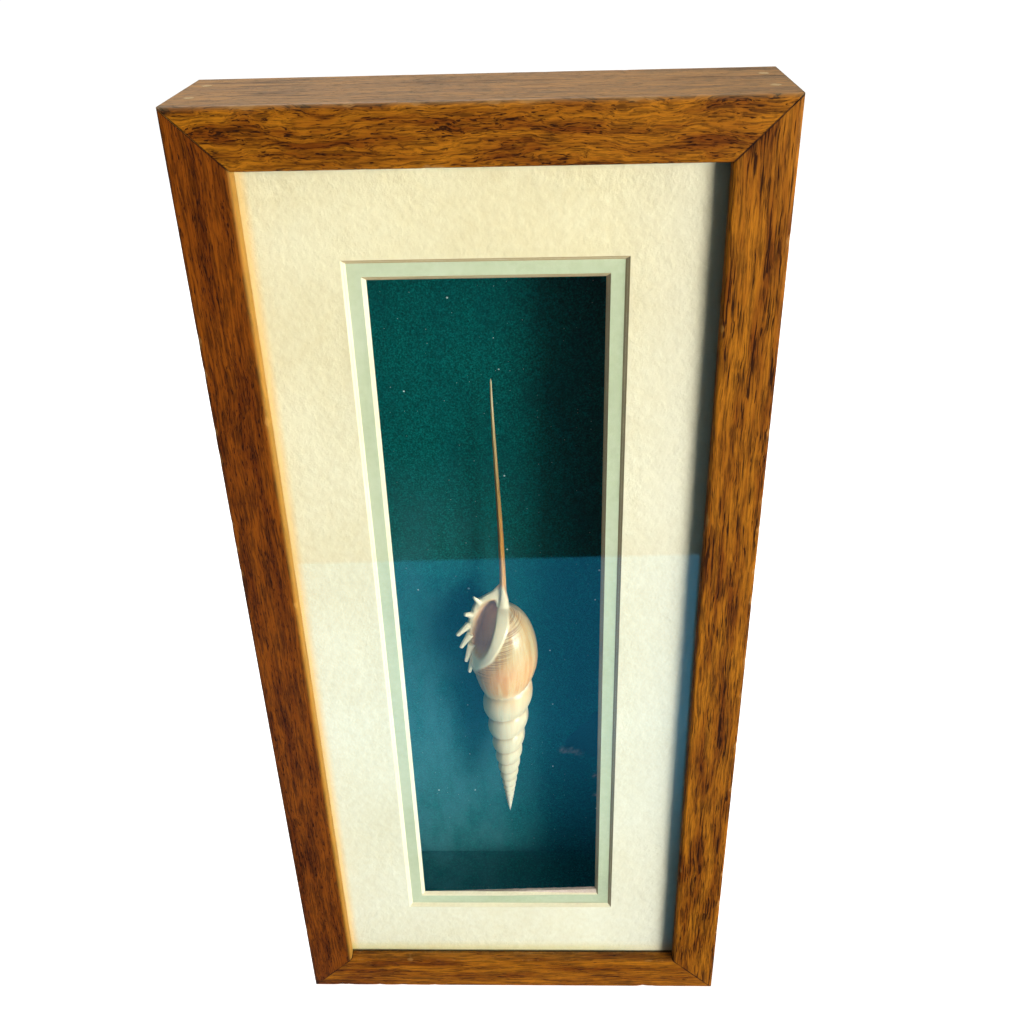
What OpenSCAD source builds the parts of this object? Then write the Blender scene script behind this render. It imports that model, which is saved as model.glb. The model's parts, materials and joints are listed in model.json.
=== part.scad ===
// Shadow box: a mitred oak frame, a double mat over a lined well, and a spindle shell mounted in it.
// Millimetres. X is to the viewer's right, Y runs back from the front face, Z is up.
// The origin is under the middle of the frame, on the plane that it stands on.

/* [Frame] */
// Overall width of the frame
frame_w = 190; // [155:1:260]
// Overall height of the frame
frame_h = 404; // [334:1:520]
// Width of a rail's face, seen from the front
face_w = 19.4; // [16:0.2:24]
// Thickness of a rail behind its lip
wall_t = 12.5; // [10:0.5:15.5]
// Thickness of the lip that the glass rests against
lip_t = 4.8; // [3:0.1:6]
// Radius of the eased outer edges
edge_r = 1.2; // [0.4:0.1:2.4]
// Radius of the eased sight edge
sight_r = 1.2; // [0.4:0.1:2]

/* [Corner nails] */
// Radius of a brad's shank
brad_r = 0.7; // [0.5:0.05:1]
// Length of a brad
brad_l = 30; // [20:1:40]
// Radius of the filled hole over a brad
putty_r = 1.5; // [1.2:0.1:2]
// Depth of the filled hole over a brad
putty_t = 1.2; // [0.8:0.1:2]
// Distance from the front and the back face to the nearer brad
brad_inset = 14; // [10:1:18]

/* [Glass and mats] */
// Thickness of the glass
glass_t = 2; // [1.6:0.1:3]
// Thickness of one mat board
mat_t = 1.4; // [1:0.1:2]
// Mat showing beside the window, from the sight edge
mat_side = 29.2; // [20:0.2:40]
// Mat showing above the window
mat_top = 29.6; // [20:0.2:45]
// Mat showing below the window
mat_bottom = 29.9; // [20:0.1:50]
// How far the inner mat shows inside the outer one
reveal = 6; // [3:0.5:9]
// Room left all round between the rebate and what lies in it
pack_gap = 0.75; // [0.4:0.05:1.5]

/* [Well] */
// Width of the perimeter spacer strips
spacer_w = 6; // [4:0.5:9]
// Thickness of the foam core behind each lining
core_t = 5; // [3:0.5:6]
// How far the linings stand back from the back edge of the window
well_setback = 7; // [6.5:0.5:9]
// Gap between the ends of the well's strips and what they meet
well_gap = 0.5; // [0.3:0.1:1]
// Height of the strip that stiffens the bottom edge of the inner mat
edge_strip_h = 5; // [3:0.5:5]
// How much higher the strip's right end is than its left end
edge_strip_rise = 3.8; // [0:0.1:3.9]
// Thickness of the board that the shell is mounted on
board_t = 1.4; // [1:0.1:3]
// Thickness of the foam board behind it
filler_t = 5; // [3:1:15]
// Thickness of the back panel
panel_t = 3; // [2:0.5:5]

/* [Shell] */
// Length of the spire, from the apex to the shoulder
spire_l = 75; // [55:1:92]
// Length of the body whorl, from the shoulder to the root of the spine
body_l = 34; // [26:1:42]
// Length of the spine
spine_l = 98.5; // [60:0.5:118]
// Radius of the spire at the shoulder
spire_r = 11; // [8:0.1:12.4]
// Radius of the body whorl
body_r = 13.6; // [12.5:0.1:16.5]
// Growth from one whorl to the next
whorl_growth = 1.233; // [1.15:0.001:1.4]
// Depth of the sutures, as a share of the radius
suture = 0.08; // [0.02:0.01:0.15]
// How far the tip of the spine bends to the left
spine_bend = 2; // [0:0.1:4]
// Lean of the shell's axis, which brings the spine nearer the board
shell_lean = 2.8; // [0:0.1:4]
// How far the middle of the shell lies below the middle of the window
shell_drop = 3; // [0:0.5:4]
// How far the shell's axis lies right of the middle
shell_x = 1; // [-2:0.5:3]
// Air between the belly of the shell and the glass
shell_air = 5.2; // [2:0.1:10]
// Thickness of the glue under the belly
glue_t = 0.4; // [0.2:0.1:1]

/* [Turn buttons] */
// Distance from the frame's top and bottom to the side buttons
button_inset = 70; // [45:1:90]
// Length of a button, from its screw to its tip
button_l = 15; // [12:0.5:20]
// Radius of a button round its screw
button_r = 4.2; // [3.4:0.1:5]
// Width of a button's arm
button_w = 7; // [5:0.1:8]
// Thickness of a button
button_t = 1.2; // [0.8:0.1:2]
// Clearance under and over a button
button_gap = 0.3; // [0.2:0.05:0.5]
// Radius of the shank that a button turns on
pivot_r = 1.5; // [1.2:0.05:1.8]
// Radial clearance of a turning fit
fit_gap = 0.07; // [0.03:0.01:0.1]
// Radius of a button screw's head
pivot_head_r = 3; // [2.4:0.1:4]
// Height of a button screw's head
pivot_head_h = 1.8; // [1.2:0.1:2.4]
// Length of a button screw's shank
pivot_l = 15; // [10:1:20]

/* [Hangers] */
// Distance from the frame's top to the rings' pivots
hanger_drop = 120; // [100:1:150]
// Width of a strap
strap_w = 7.6; // [6:0.1:9]
// Thickness of the strip that a strap is folded from
strap_t = 0.8; // [0.6:0.1:1.2]
// Length of a strap below the pivot
strap_l = 20; // [18:0.5:30]
// Distance from the pivot to the strap's screw
strap_screw = 15; // [14:0.5:22]
// Radius of a ring's wire
wire_r = 0.9; // [0.7:0.05:1.1]
// Gap between a strap's barrel and the ring's sides
ring_side_gap = 0.4; // [0.3:0.05:0.8]
// Distance from a ring's pivot to the middle of its bow
ring_l = 9.5; // [8:0.5:10.5]
// Angle at which a ring leans off its strap at rest
ring_rest = 6.5; // [5:0.5:12]
// Radius of a strap screw's head
strap_head_r = 2.6; // [2:0.1:3.2]
// Height of a strap screw's head
strap_head_h = 1.5; // [1:0.1:2]
// Radius of a strap screw's shank
strap_screw_r = 1.3; // [1:0.05:1.6]
// Length of a strap screw's shank
strap_screw_l = 14; // [10:1:18]

/* [Wall bumpers] */
// Radius of a bumper
bumper_r = 5; // [4:0.1:6]
// Thickness of a bumper
bumper_t = 4; // [3.5:0.1:8]
// Distance from the frame's side to a bumper's middle
bumper_inset = 20; // [18:1:30]

/* [Hidden] */
$fn = 64;

oak = [0.60, 0.36, 0.13];
pine = [0.85, 0.72, 0.50];
cream = [0.93, 0.90, 0.78];
mint = [0.80, 0.88, 0.76];
teal = [0.05, 0.30, 0.32];
foam_white = [0.92, 0.92, 0.90];
steel = [0.70, 0.71, 0.73];

// Depths behind the front face, one layer after another
glass_front = lip_t;
mat_front = glass_front + glass_t;
inner_front = mat_front + mat_t;
well_front = inner_front + mat_t;
board_front = mat_front + shell_air + 2 * body_r + glue_t;
filler_front = board_front + board_t;
panel_front = filler_front + filler_t;
frame_d = panel_front + panel_t;
well_d = board_front - well_front;
back_y = frame_d / 2;
function at_depth(d) = d - frame_d / 2;

// What lies in the rebate
pack_w = frame_w - 2 * (wall_t + pack_gap);
pack_h = frame_h - 2 * (wall_t + pack_gap);
pack_mid = frame_h / 2;

// Windows, measured at the front of each bevel
window_w = frame_w - 2 * (face_w + mat_side);
window_low = face_w + mat_bottom;
window_high = frame_h - face_w - mat_top;
inner_w = window_w - 2 * reveal;
inner_low = window_low + reveal;
inner_high = window_high - reveal;
inner_mid = (inner_low + inner_high) / 2;

// The inner window at the back of its bevel
edge_half = inner_w / 2 - mat_t;
edge_low = inner_low + mat_t;
edge_high = inner_high - mat_t;

// The well's inside, on the faces of its linings
well_half = edge_half + well_setback;
well_floor = edge_low - well_setback;
well_top = edge_high + well_setback;
side_low = well_floor - mat_t - core_t;
side_high = well_top + mat_t + core_t;
end_half = well_half - well_gap;

rail_mid = wall_t / 2;
side_x = frame_w / 2 - rail_mid;
brad_depths = [brad_inset, frame_d - brad_inset];
drive_gap = 0.03;

// Shell: the belly is the widest place, and the last suture ends at the lip
belly_s = spire_l + 10;
shell_l = spire_l + body_l + spine_l;
belly_back = (belly_s - spire_l) / sqrt(1 - pow(spire_r / body_r, 2));
belly_fore = spire_l + body_l - belly_s;
last_suture = 0.97 * spire_l;
shell_depth = board_front - glue_t - body_r;
shell_z = inner_mid - shell_drop;

// ---- wooden frame ----

// The corner that is taken off to leave a round edge of radius r at the origin
module edge_cut(r) {
    difference() {
        translate([-1, -1]) square(r + 1);
        translate([r, r]) circle(r);
    }
}

// Section of a rail: first the depth behind the front face, then the distance from the outer face
module rail_section() {
    difference() {
        polygon([
            [0, 0], [frame_d, 0], [frame_d, wall_t], [lip_t, wall_t],
            [lip_t, face_w], [0, face_w]
        ]);
        edge_cut(edge_r);
        translate([frame_d, 0]) mirror([1, 0]) edge_cut(edge_r);
        translate([0, face_w]) mirror([0, 1]) edge_cut(sight_r);
    }
}

// A mitred rail along X, with its outer face down
module rail(length) {
    intersection() {
        translate([-length / 2, -frame_d / 2, 0])
            rotate([90, 0, 90]) linear_extrude(length) rail_section();
        translate([0, frame_d / 2 + 1, 0]) rotate([90, 0, 0]) linear_extrude(frame_d + 2)
            polygon([
                [-length / 2, 0], [length / 2, 0],
                [length / 2 - face_w, face_w], [-length / 2 + face_w, face_w]
            ]);
    }
}

// Puts the children at each place where a brad is driven, pointing into the frame
module at_brads() {
    for (side = [-1, 1], d = brad_depths) {
        translate([side * side_x, at_depth(d), 0]) children();
        translate([side * side_x, at_depth(d), frame_h]) mirror([0, 0, 1]) children();
    }
}

module brad() {
    translate([0, 0, putty_t]) {
        cylinder(r = putty_r - 0.3, h = 1);
        cylinder(r = brad_r, h = brad_l);
    }
}

module brad_hole() {
    translate([0, 0, -1]) cylinder(r = putty_r + drive_gap, h = putty_t + 2 + drive_gap);
    cylinder(r = brad_r + drive_gap, h = putty_t + brad_l + drive_gap);
}

module button_places() {
    for (side = [-1, 1], z = [button_inset, frame_h - button_inset])
        translate([side * side_x, back_y, z]) children();
    for (z = [rail_mid, frame_h - rail_mid]) translate([0, back_y, z]) children();
}

module hanger_screw_places() {
    for (side = [-1, 1])
        translate([side * side_x, back_y, frame_h - hanger_drop - strap_screw]) children();
}

// A blind hole in the back of a rail
module pilot_hole(r, depth) {
    rotate([90, 0, 0]) translate([0, 0, -1]) cylinder(r = r + drive_gap, h = depth + 1);
}

module drilled() {
    difference() {
        children();
        at_brads() brad_hole();
        button_places() pilot_hole(pivot_r, pivot_l);
        hanger_screw_places() pilot_hole(strap_screw_r, strap_screw_l);
    }
}

module rail_bottom() { color(oak) drilled() rail(frame_w); }

module rail_top() {
    color(oak) drilled() translate([0, 0, frame_h]) mirror([0, 0, 1]) rail(frame_w);
}

module side_rail(side) {
    color(oak) drilled() translate([side * frame_w / 2, 0, frame_h / 2])
        rotate([0, -side * 90, 0]) rail(frame_h);
}

module rail_left() { side_rail(-1); }

module rail_right() { side_rail(1); }

module corner_brads() { color(steel) at_brads() brad(); }

module brad_putty() {
    color([0.80, 0.66, 0.44]) at_brads() cylinder(r = putty_r, h = putty_t);
}

// ---- glass and mats ----

// A board that fills the rebate from side to side
module pack_board(front, t) {
    translate([-pack_w / 2, at_depth(front), pack_mid - pack_h / 2]) cube([pack_w, t, pack_h]);
}

// A window with its edge cut at 45 degrees, narrower at the back
module bevel_window(front, w, low, high) {
    y0 = at_depth(front) - 1;
    y1 = at_depth(front) + mat_t + 1;
    grow_front = 1;
    grow_back = -mat_t - 1;
    mid = (low + high) / 2;
    half = (high - low) / 2;
    intersection() {
        translate([0, 0, low - 5]) linear_extrude(high - low + 10)
            polygon([
                [-w / 2 - grow_front, y0], [w / 2 + grow_front, y0],
                [w / 2 + grow_back, y1], [-w / 2 - grow_back, y1]
            ]);
        translate([-w / 2 - 5, 0, mid]) rotate([90, 0, 90]) linear_extrude(w + 10)
            polygon([
                [y0, -half - grow_front], [y0, half + grow_front],
                [y1, half + grow_back], [y1, -half - grow_back]
            ]);
    }
}

module glass_pane() { color([0.80, 0.90, 0.92, 0.3]) pack_board(glass_front, glass_t); }

module outer_mat() {
    color(cream) difference() {
        pack_board(mat_front, mat_t);
        bevel_window(mat_front, window_w, window_low, window_high);
    }
}

module inner_mat() {
    color(mint) difference() {
        pack_board(inner_front, mat_t);
        bevel_window(inner_front, inner_w, inner_low, inner_high);
    }
}

// ---- spacers, well and boards ----

// A strip that fills the depth of the well between two corners in X and Z
module well_strip(x0, x1, z0, z1) {
    translate([x0, at_depth(well_front), z0]) cube([x1 - x0, well_d, z1 - z0]);
}

module side_spacer(side) {
    x = side * (pack_w / 2 - spacer_w / 2);
    color(pine) well_strip(
        x - spacer_w / 2, x + spacer_w / 2, pack_mid - pack_h / 2, pack_mid + pack_h / 2
    );
}

module end_spacer(z) {
    half = pack_w / 2 - spacer_w;
    color(pine) well_strip(-half, half, z, z + spacer_w);
}

module spacer_left() { side_spacer(-1); }

module spacer_right() { side_spacer(1); }

module spacer_bottom() { end_spacer(pack_mid - pack_h / 2); }

module spacer_top() { end_spacer(pack_mid + pack_h / 2 - spacer_w); }

module side_lining(side) {
    x = side * (well_half + mat_t / 2);
    color(teal) well_strip(x - mat_t / 2, x + mat_t / 2, side_low, side_high);
}

module side_core(side) {
    x = side * (well_half + mat_t + core_t / 2);
    color(foam_white) well_strip(x - core_t / 2, x + core_t / 2, side_low, side_high);
}

module well_lining_left() { side_lining(-1); }

module well_lining_right() { side_lining(1); }

module well_core_left() { side_core(-1); }

module well_core_right() { side_core(1); }

module well_lining_top() {
    color(teal) well_strip(-end_half, end_half, well_top, well_top + mat_t);
}

module well_core_top() {
    color(foam_white)
        well_strip(-end_half, end_half, well_top + mat_t, well_top + mat_t + core_t);
}

module well_lining_bottom() {
    color(teal) well_strip(-end_half, end_half, well_floor - mat_t, well_floor);
}

module well_core_bottom() {
    color(foam_white)
        well_strip(-end_half, end_half, well_floor - mat_t - core_t, well_floor - mat_t);
}

// An offcut glued behind the bottom edge of the window, a little out of level
module mat_edge_strip() {
    half = end_half - 1;
    color(cream) translate([0, at_depth(well_front), edge_low])
        rotate([0, -atan(edge_strip_rise / (2 * half)), 0])
            translate([-half, 0, -edge_strip_h]) cube([2 * half, mat_t, edge_strip_h]);
}

module display_board() { color(teal) pack_board(board_front, board_t); }

module filler_board() { color(foam_white) pack_board(filler_front, filler_t); }

module back_panel() { color([0.42, 0.27, 0.16]) pack_board(panel_front, panel_t); }

// ---- shell ----

// Radius of the smooth outline at a distance s from the apex
function outline_r(s) =
    s < spire_l ? spire_r * pow(s / spire_l, 0.93)
    : s < belly_s ? body_r * sqrt(1 - pow((belly_s - s) / belly_back, 2))
    : body_r * sqrt(max(0.004, 1 - pow((s - belly_s) / belly_fore, 2)));

// Whorls passed since the last suture; a is the turn from the right, over the back, to the left
function whorls_at(s, a) = ln(s / last_suture) / ln(whorl_growth) - a / 360;

// Share of a whorl from its suture, which the last whorl leaves behind after half its width
function whorl_share(s, a) =
    let (w = whorls_at(s, a), body = a <= 180 ? w : w + 1)
    body >= 0 ? min(0.5, body) : w - floor(w);

function shell_r(s, a) =
    outline_r(s) * (1 - suture + suture * pow(sin(180 * whorl_share(s, a)), 0.6));

ring_count = 30;
ring_sides = 18;

// Heights of the rings, closer together towards the apex
function ring_s(i) = (spire_l + body_l - 0.2) * pow((i + 0.35) / (ring_count - 0.65), 1.12);

function ring_point(i, k) =
    let (s = ring_s(i), a = 360 * k / ring_sides, r = shell_r(s, a))
    [r * cos(a), r * sin(a), s];

// Faces that join rings of n points into a closed skin
function skin_faces(rings, n) = concat(
    [[for (k = [0 : n - 1]) k]],
    [[for (k = [n - 1 : -1 : 0]) (rings - 1) * n + k]],
    [for (i = [0 : rings - 2], k = [0 : n - 1])
        [i * n + k, (i + 1) * n + k, (i + 1) * n + (k + 1) % n]],
    [for (i = [0 : rings - 2], k = [0 : n - 1])
        [i * n + k, (i + 1) * n + (k + 1) % n, i * n + (k + 1) % n]]
);

module whorls() {
    polyhedron(
        points = [for (i = [0 : ring_count - 1], k = [0 : ring_sides - 1]) ring_point(i, k)],
        faces = skin_faces(ring_count, ring_sides)
    );
}

spine_rings = 14;
spine_sides = 8;
spine_root_r = 2.4;
spine_r = 1.5;
spine_tip_r = 0.3;

// The spine starts inside the body whorl and tapers to its tip
module spine() {
    start = spire_l + body_l - 8;
    length = shell_l - start;
    polyhedron(
        points = [
            for (i = [0 : spine_rings - 1], k = [0 : spine_sides - 1])
                let (
                    t = i / (spine_rings - 1),
                    r = spine_tip_r + (spine_r - spine_tip_r) * pow(1 - t, 0.7)
                        + (spine_root_r - spine_r) * pow(1 - t, 8),
                    a = 360 * k / spine_sides
                )
                [r * cos(a) - spine_bend * t * t, r * sin(a), start + length * t]
        ],
        faces = skin_faces(spine_rings, spine_sides)
    );
}

lip_x = -4;
lip_y = -2;
lip_z = spire_l + 23;
lip_half_w = 11.2;
lip_half_l = 19;
// Places of the lip's fingers round the lip, and how far each stands out
fingers = [[58, 3.6], [33, 4.4], [8, 5], [-14, 3.8], [-36, 3.4]];

// The lip flares out of the body whorl, round the mouth
module lip() {
    translate([lip_x, lip_y, lip_z]) {
        scale([lip_half_w, 4, lip_half_l]) sphere(1, $fn = 20);
        for (f = fingers)
            translate([-(lip_half_w - 1) * cos(f[0]), 0, (lip_half_l - 1) * sin(f[0])])
                rotate([0, f[0] - 90, 0])
                    cylinder(r1 = 1.3, r2 = 0.5, h = f[1] + 1, $fn = 8);
    }
}

module mouth() {
    translate([lip_x - 2.6, lip_y - 7.4, lip_z])
        rotate([0, 8, 0]) scale([4.8, 9, 12.5]) sphere(1, $fn = 20);
}

// Places the shell: its axis leans back a little, and the middle of its length is centred
module on_shell_axis() {
    translate([shell_x, at_depth(shell_depth), shell_z]) rotate([-shell_lean, 0, 0])
        translate([0, (shell_l / 2 - belly_s) * tan(shell_lean), -shell_l / 2]) children();
}

module shell() {
    color([0.93, 0.85, 0.70]) on_shell_axis() difference() {
        union() {
            whorls();
            spine();
            lip();
        }
        mouth();
    }
}

// A pad of clear glue on the board, behind the shell at a distance s from its apex
module glue_pad(s, r, reach) {
    z = shell_z + (s - shell_l / 2) * cos(shell_lean);
    color([0.90, 0.88, 0.80]) translate([shell_x, at_depth(board_front), z])
        rotate([90, 0, 0]) cylinder(r = r, h = reach);
}

spire_pad_s = spire_l - 15;
bite = 0.35;

module glue_pad_belly() { glue_pad(belly_s, 4.5, glue_t + bite); }

module glue_pad_spire() {
    lift = (belly_s - spire_pad_s) * sin(shell_lean);
    glue_pad(spire_pad_s, 3, glue_t + body_r + lift - outline_r(spire_pad_s) * (1 - suture) + bite);
}

// ---- hardware on the back ----

// A screw driven forward from the plane of its head's underside
module screw(head_r, head_h, shank_r, shank_l) {
    tip = 2.5 * shank_r;
    rotate([90, 0, 0]) {
        difference() {
            translate([0, 0, -head_h]) {
                translate([0, 0, head_h / 2]) cylinder(r = head_r, h = head_h / 2);
                cylinder(r1 = head_r * 0.72, r2 = head_r, h = head_h / 2);
            }
            for (turn = [0, 90]) rotate(turn)
                translate([-head_r / 2, -0.35, -head_h - 1]) cube([head_r, 0.7, head_h * 0.55 + 1]);
        }
        cylinder(r = shank_r, h = shank_l - tip);
        translate([0, 0, shank_l - tip]) cylinder(r1 = shank_r, r2 = 0.2, h = tip);
    }
}

// A flat steel button that reaches over the back panel, turned to point along an angle
module turn_button(x, z, angle) {
    tip_r = button_w / 2;
    color(steel) translate([x, back_y + button_gap + button_t, z]) rotate([0, -angle, 0])
        rotate([90, 0, 0]) difference() {
            union() {
                cylinder(r = button_r, h = button_t);
                translate([0, -tip_r, 0]) cube([button_l - tip_r, button_w, button_t]);
                translate([button_l - tip_r, 0, 0]) cylinder(r = tip_r, h = button_t);
            }
            translate([0, 0, -1]) cylinder(r = pivot_r + fit_gap, h = button_t + 2);
        }
}

button_low = button_inset;
button_high = frame_h - button_inset;

module turn_button_top() { turn_button(0, frame_h - rail_mid, -90); }

module turn_button_bottom() { turn_button(0, rail_mid, 90); }

module turn_button_left_upper() { turn_button(-side_x, button_high, 0); }

module turn_button_left_lower() { turn_button(-side_x, button_low, 0); }

module turn_button_right_upper() { turn_button(side_x, button_high, 180); }

module turn_button_right_lower() { turn_button(side_x, button_low, 180); }

module turn_button_screws() {
    stand = 2 * button_gap + button_t;
    color(steel) button_places() translate([0, stand, 0])
        screw(pivot_head_r, pivot_head_h, pivot_r, pivot_l + stand - 1);
}

barrel_in = wire_r + fit_gap;
barrel_out = barrel_in + strap_t;
barrel_y = back_y + barrel_out;
barrel_z = frame_h - hanger_drop;
ring_half = strap_w / 2 + ring_side_gap + wire_r;

// A strip folded round the ring's bar, with its two leaves flat on the rail
module hanger_strap(side) {
    color(steel) translate([side * side_x, 0, barrel_z]) difference() {
        union() {
            translate([-strap_w / 2, barrel_y, 0]) rotate([0, 90, 0])
                cylinder(r = barrel_out, h = strap_w);
            translate([-strap_w / 2, back_y, -strap_l + strap_w / 2])
                cube([strap_w, 2 * strap_t, strap_l - strap_w / 2]);
            translate([0, back_y + 2 * strap_t, -strap_l + strap_w / 2]) rotate([90, 0, 0])
                cylinder(r = strap_w / 2, h = 2 * strap_t);
        }
        translate([-strap_w, barrel_y, 0]) rotate([0, 90, 0]) cylinder(r = barrel_in, h = 2 * strap_w);
        translate([0, back_y + 2 * strap_t + 1, -strap_screw]) rotate([90, 0, 0])
            cylinder(r = strap_screw_r + drive_gap, h = 2 * strap_t + 2);
    }
}

// A wire D: its bar lies in the strap's barrel and its bow hangs over the strap
module hanger_ring(side) {
    leg = ring_l - ring_half;
    color(steel) translate([side * side_x, barrel_y, barrel_z]) rotate([ring_rest, 0, 0]) {
        translate([-ring_half, 0, 0]) rotate([0, 90, 0]) cylinder(r = wire_r, h = 2 * ring_half);
        for (x = [-ring_half, ring_half]) translate([x, 0, 0]) {
            sphere(r = wire_r);
            translate([0, 0, -leg]) cylinder(r = wire_r, h = leg);
        }
        translate([0, 0, -leg]) rotate([-90, 0, 0]) rotate_extrude(angle = 180)
            translate([ring_half, 0]) circle(wire_r);
    }
}

module hanger_strap_left() { hanger_strap(-1); }

module hanger_strap_right() { hanger_strap(1); }

module hanger_ring_left() { hanger_ring(-1); }

module hanger_ring_right() { hanger_ring(1); }

module hanger_screws() {
    color(steel) hanger_screw_places() translate([0, 2 * strap_t, 0])
        screw(strap_head_r, strap_head_h, strap_screw_r, strap_screw_l + 2 * strap_t - 1);
}

module wall_bumpers() {
    color([0.25, 0.25, 0.25]) for (side = [-1, 1])
        translate([side * (frame_w / 2 - bumper_inset), back_y + bumper_t, rail_mid])
            rotate([90, 0, 0]) {
                cylinder(r1 = bumper_r - 0.6, r2 = bumper_r, h = 0.6);
                translate([0, 0, 0.6]) cylinder(r = bumper_r, h = bumper_t - 0.6);
            }
}

rail_top();
rail_bottom();
rail_left();
rail_right();
corner_brads();
brad_putty();
glass_pane();
outer_mat();
inner_mat();
spacer_top();
spacer_bottom();
spacer_left();
spacer_right();
well_core_top();
well_core_bottom();
well_core_left();
well_core_right();
well_lining_top();
well_lining_bottom();
well_lining_left();
well_lining_right();
mat_edge_strip();
display_board();
filler_board();
back_panel();
shell();
glue_pad_belly();
glue_pad_spire();
turn_button_top();
turn_button_bottom();
turn_button_left_upper();
turn_button_left_lower();
turn_button_right_upper();
turn_button_right_lower();
turn_button_screws();
hanger_strap_left();
hanger_strap_right();
hanger_ring_left();
hanger_ring_right();
hanger_screws();
wall_bumpers();
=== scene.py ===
import math
import random

import bmesh
import bpy
from mathutils import Matrix, Vector, noise
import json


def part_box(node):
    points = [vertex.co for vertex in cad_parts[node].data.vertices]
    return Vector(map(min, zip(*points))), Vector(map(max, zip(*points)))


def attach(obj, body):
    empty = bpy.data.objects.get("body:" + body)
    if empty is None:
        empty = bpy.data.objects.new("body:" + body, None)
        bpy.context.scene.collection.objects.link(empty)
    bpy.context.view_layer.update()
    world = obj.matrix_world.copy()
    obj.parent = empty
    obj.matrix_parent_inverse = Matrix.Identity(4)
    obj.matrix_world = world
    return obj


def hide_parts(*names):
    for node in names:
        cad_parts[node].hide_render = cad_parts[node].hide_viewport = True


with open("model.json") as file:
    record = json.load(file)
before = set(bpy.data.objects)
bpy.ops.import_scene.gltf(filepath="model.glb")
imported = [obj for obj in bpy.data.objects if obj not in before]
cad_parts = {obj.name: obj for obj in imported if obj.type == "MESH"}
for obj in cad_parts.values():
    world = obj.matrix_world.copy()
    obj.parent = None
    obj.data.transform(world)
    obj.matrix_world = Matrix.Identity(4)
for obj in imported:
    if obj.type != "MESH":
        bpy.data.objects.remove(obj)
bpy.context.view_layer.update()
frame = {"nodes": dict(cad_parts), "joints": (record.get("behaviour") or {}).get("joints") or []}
mm = 0.001
print("frame loaded")

# node helpers

def srgb(red, green, blue):
    def straighten(value):
        value /= 255
        return value / 12.92 if value <= 0.04045 else ((value + 0.055) / 1.055) ** 2.4
    return (straighten(red), straighten(green), straighten(blue), 1.0)


def feed(tree, sockets, values):
    for key, value in values.items():
        if isinstance(value, bpy.types.NodeSocket):
            tree.links.new(value, sockets[key])
        else:
            sockets[key].default_value = value


def addNode(tree, kind, inputs=None, **settings):
    made = tree.nodes.new("ShaderNode" + kind)
    for key, value in settings.items():
        setattr(made, key, value)
    feed(tree, made.inputs, inputs or {})
    return made


def noiseOf(tree, vector, scale, detail=4.0, roughness=0.55, distortion=0.0):
    return addNode(tree, "TexNoise", {
        "Vector": vector, "Scale": scale, "Detail": detail, "Roughness": roughness,
        "Distortion": distortion}).outputs["Fac"]


def ramp(tree, factor, stops):
    made = addNode(tree, "ValToRGB", {"Fac": factor})
    elements = made.color_ramp.elements
    while len(elements) < len(stops):
        elements.new(0.5)
    for element, (position, colour) in zip(elements, stops):
        element.position = position
        element.color = colour if hasattr(colour, "__len__") else (colour, colour, colour, 1.0)
    return made.outputs["Color"]


def mixColour(tree, factor, first, second, blend="MIX"):
    # a Mix node's colours go in at sockets 6 and 7, and the result comes out at 2
    made = addNode(tree, "Mix", {0: factor, 6: first, 7: second}, data_type="RGBA", blend_type=blend)
    return made.outputs[2]


def sums(tree, operation, first, second=0.0, third=0.0, clamp=False):
    return addNode(tree, "Math", {0: first, 1: second, 2: third}, operation=operation,
                   use_clamp=clamp).outputs[0]


def times(tree, first, second, clamp=False):
    return sums(tree, "MULTIPLY", first, second, clamp=clamp)


def spread(tree, value, low, high, most=1.0, **settings):
    # from 0 at low to most at high
    return addNode(tree, "MapRange", {
        "Value": value, "From Min": low, "From Max": high, "To Max": most}, **settings).outputs[0]


def attributeOf(tree, name):
    return addNode(tree, "Attribute", attribute_name=name).outputs["Fac"]


def axesOf(tree, vector):
    return addNode(tree, "SeparateXYZ", {0: vector}).outputs


def facingOf(tree):
    return axesOf(tree, addNode(tree, "NewGeometry").outputs["Normal"])


def stretched(tree, vector, scale=(1, 1, 1), turn=(0, 0, 0), move=(0, 0, 0)):
    return addNode(tree, "Mapping", {
        "Vector": vector, "Scale": scale, "Rotation": [math.radians(a) for a in turn],
        "Location": move}).outputs["Vector"]


def newGroup(name, values, outputs):
    # every group reads a Vector first, then its colours and plain values
    group = bpy.data.node_groups.new(name, "ShaderNodeTree")
    group.interface.new_socket("Vector", in_out="INPUT", socket_type="NodeSocketVector")
    for label, value in values.items():
        kind = "Color" if hasattr(value, "__len__") else "Float"
        socket = group.interface.new_socket(label, in_out="INPUT", socket_type="NodeSocket" + kind)
        socket.default_value = value
    for label in outputs:
        kind = "Color" if label == "Color" else "Float"
        group.interface.new_socket(label, in_out="OUTPUT", socket_type="NodeSocket" + kind)
    given = group.nodes.new("NodeGroupInput").outputs
    made = group.nodes.new("NodeGroupOutput").inputs
    return group, given, made


def fillGroup(tree, group, inputs):
    return addNode(tree, "Group", inputs, node_tree=group).outputs


def newMaterial(name):
    material = bpy.data.materials.new(name)
    material.use_nodes = True
    tree = material.node_tree
    tree.nodes.clear()
    shader = addNode(tree, "BsdfPrincipled")
    addNode(tree, "OutputMaterial", {"Surface": shader.outputs[0]})
    place = addNode(tree, "TexCoord").outputs["Object"]
    return material, tree, shader, place


def showShader(tree, node):
    output = [n for n in tree.nodes if n.type == "OUTPUT_MATERIAL"][0]
    feed(tree, output.inputs, {"Surface": node.outputs[0]})


def bump(tree, height, distance, strength=1.0):
    return addNode(tree, "Bump", {
        "Height": height, "Distance": distance, "Strength": strength}).outputs["Normal"]


# shared effects

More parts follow.
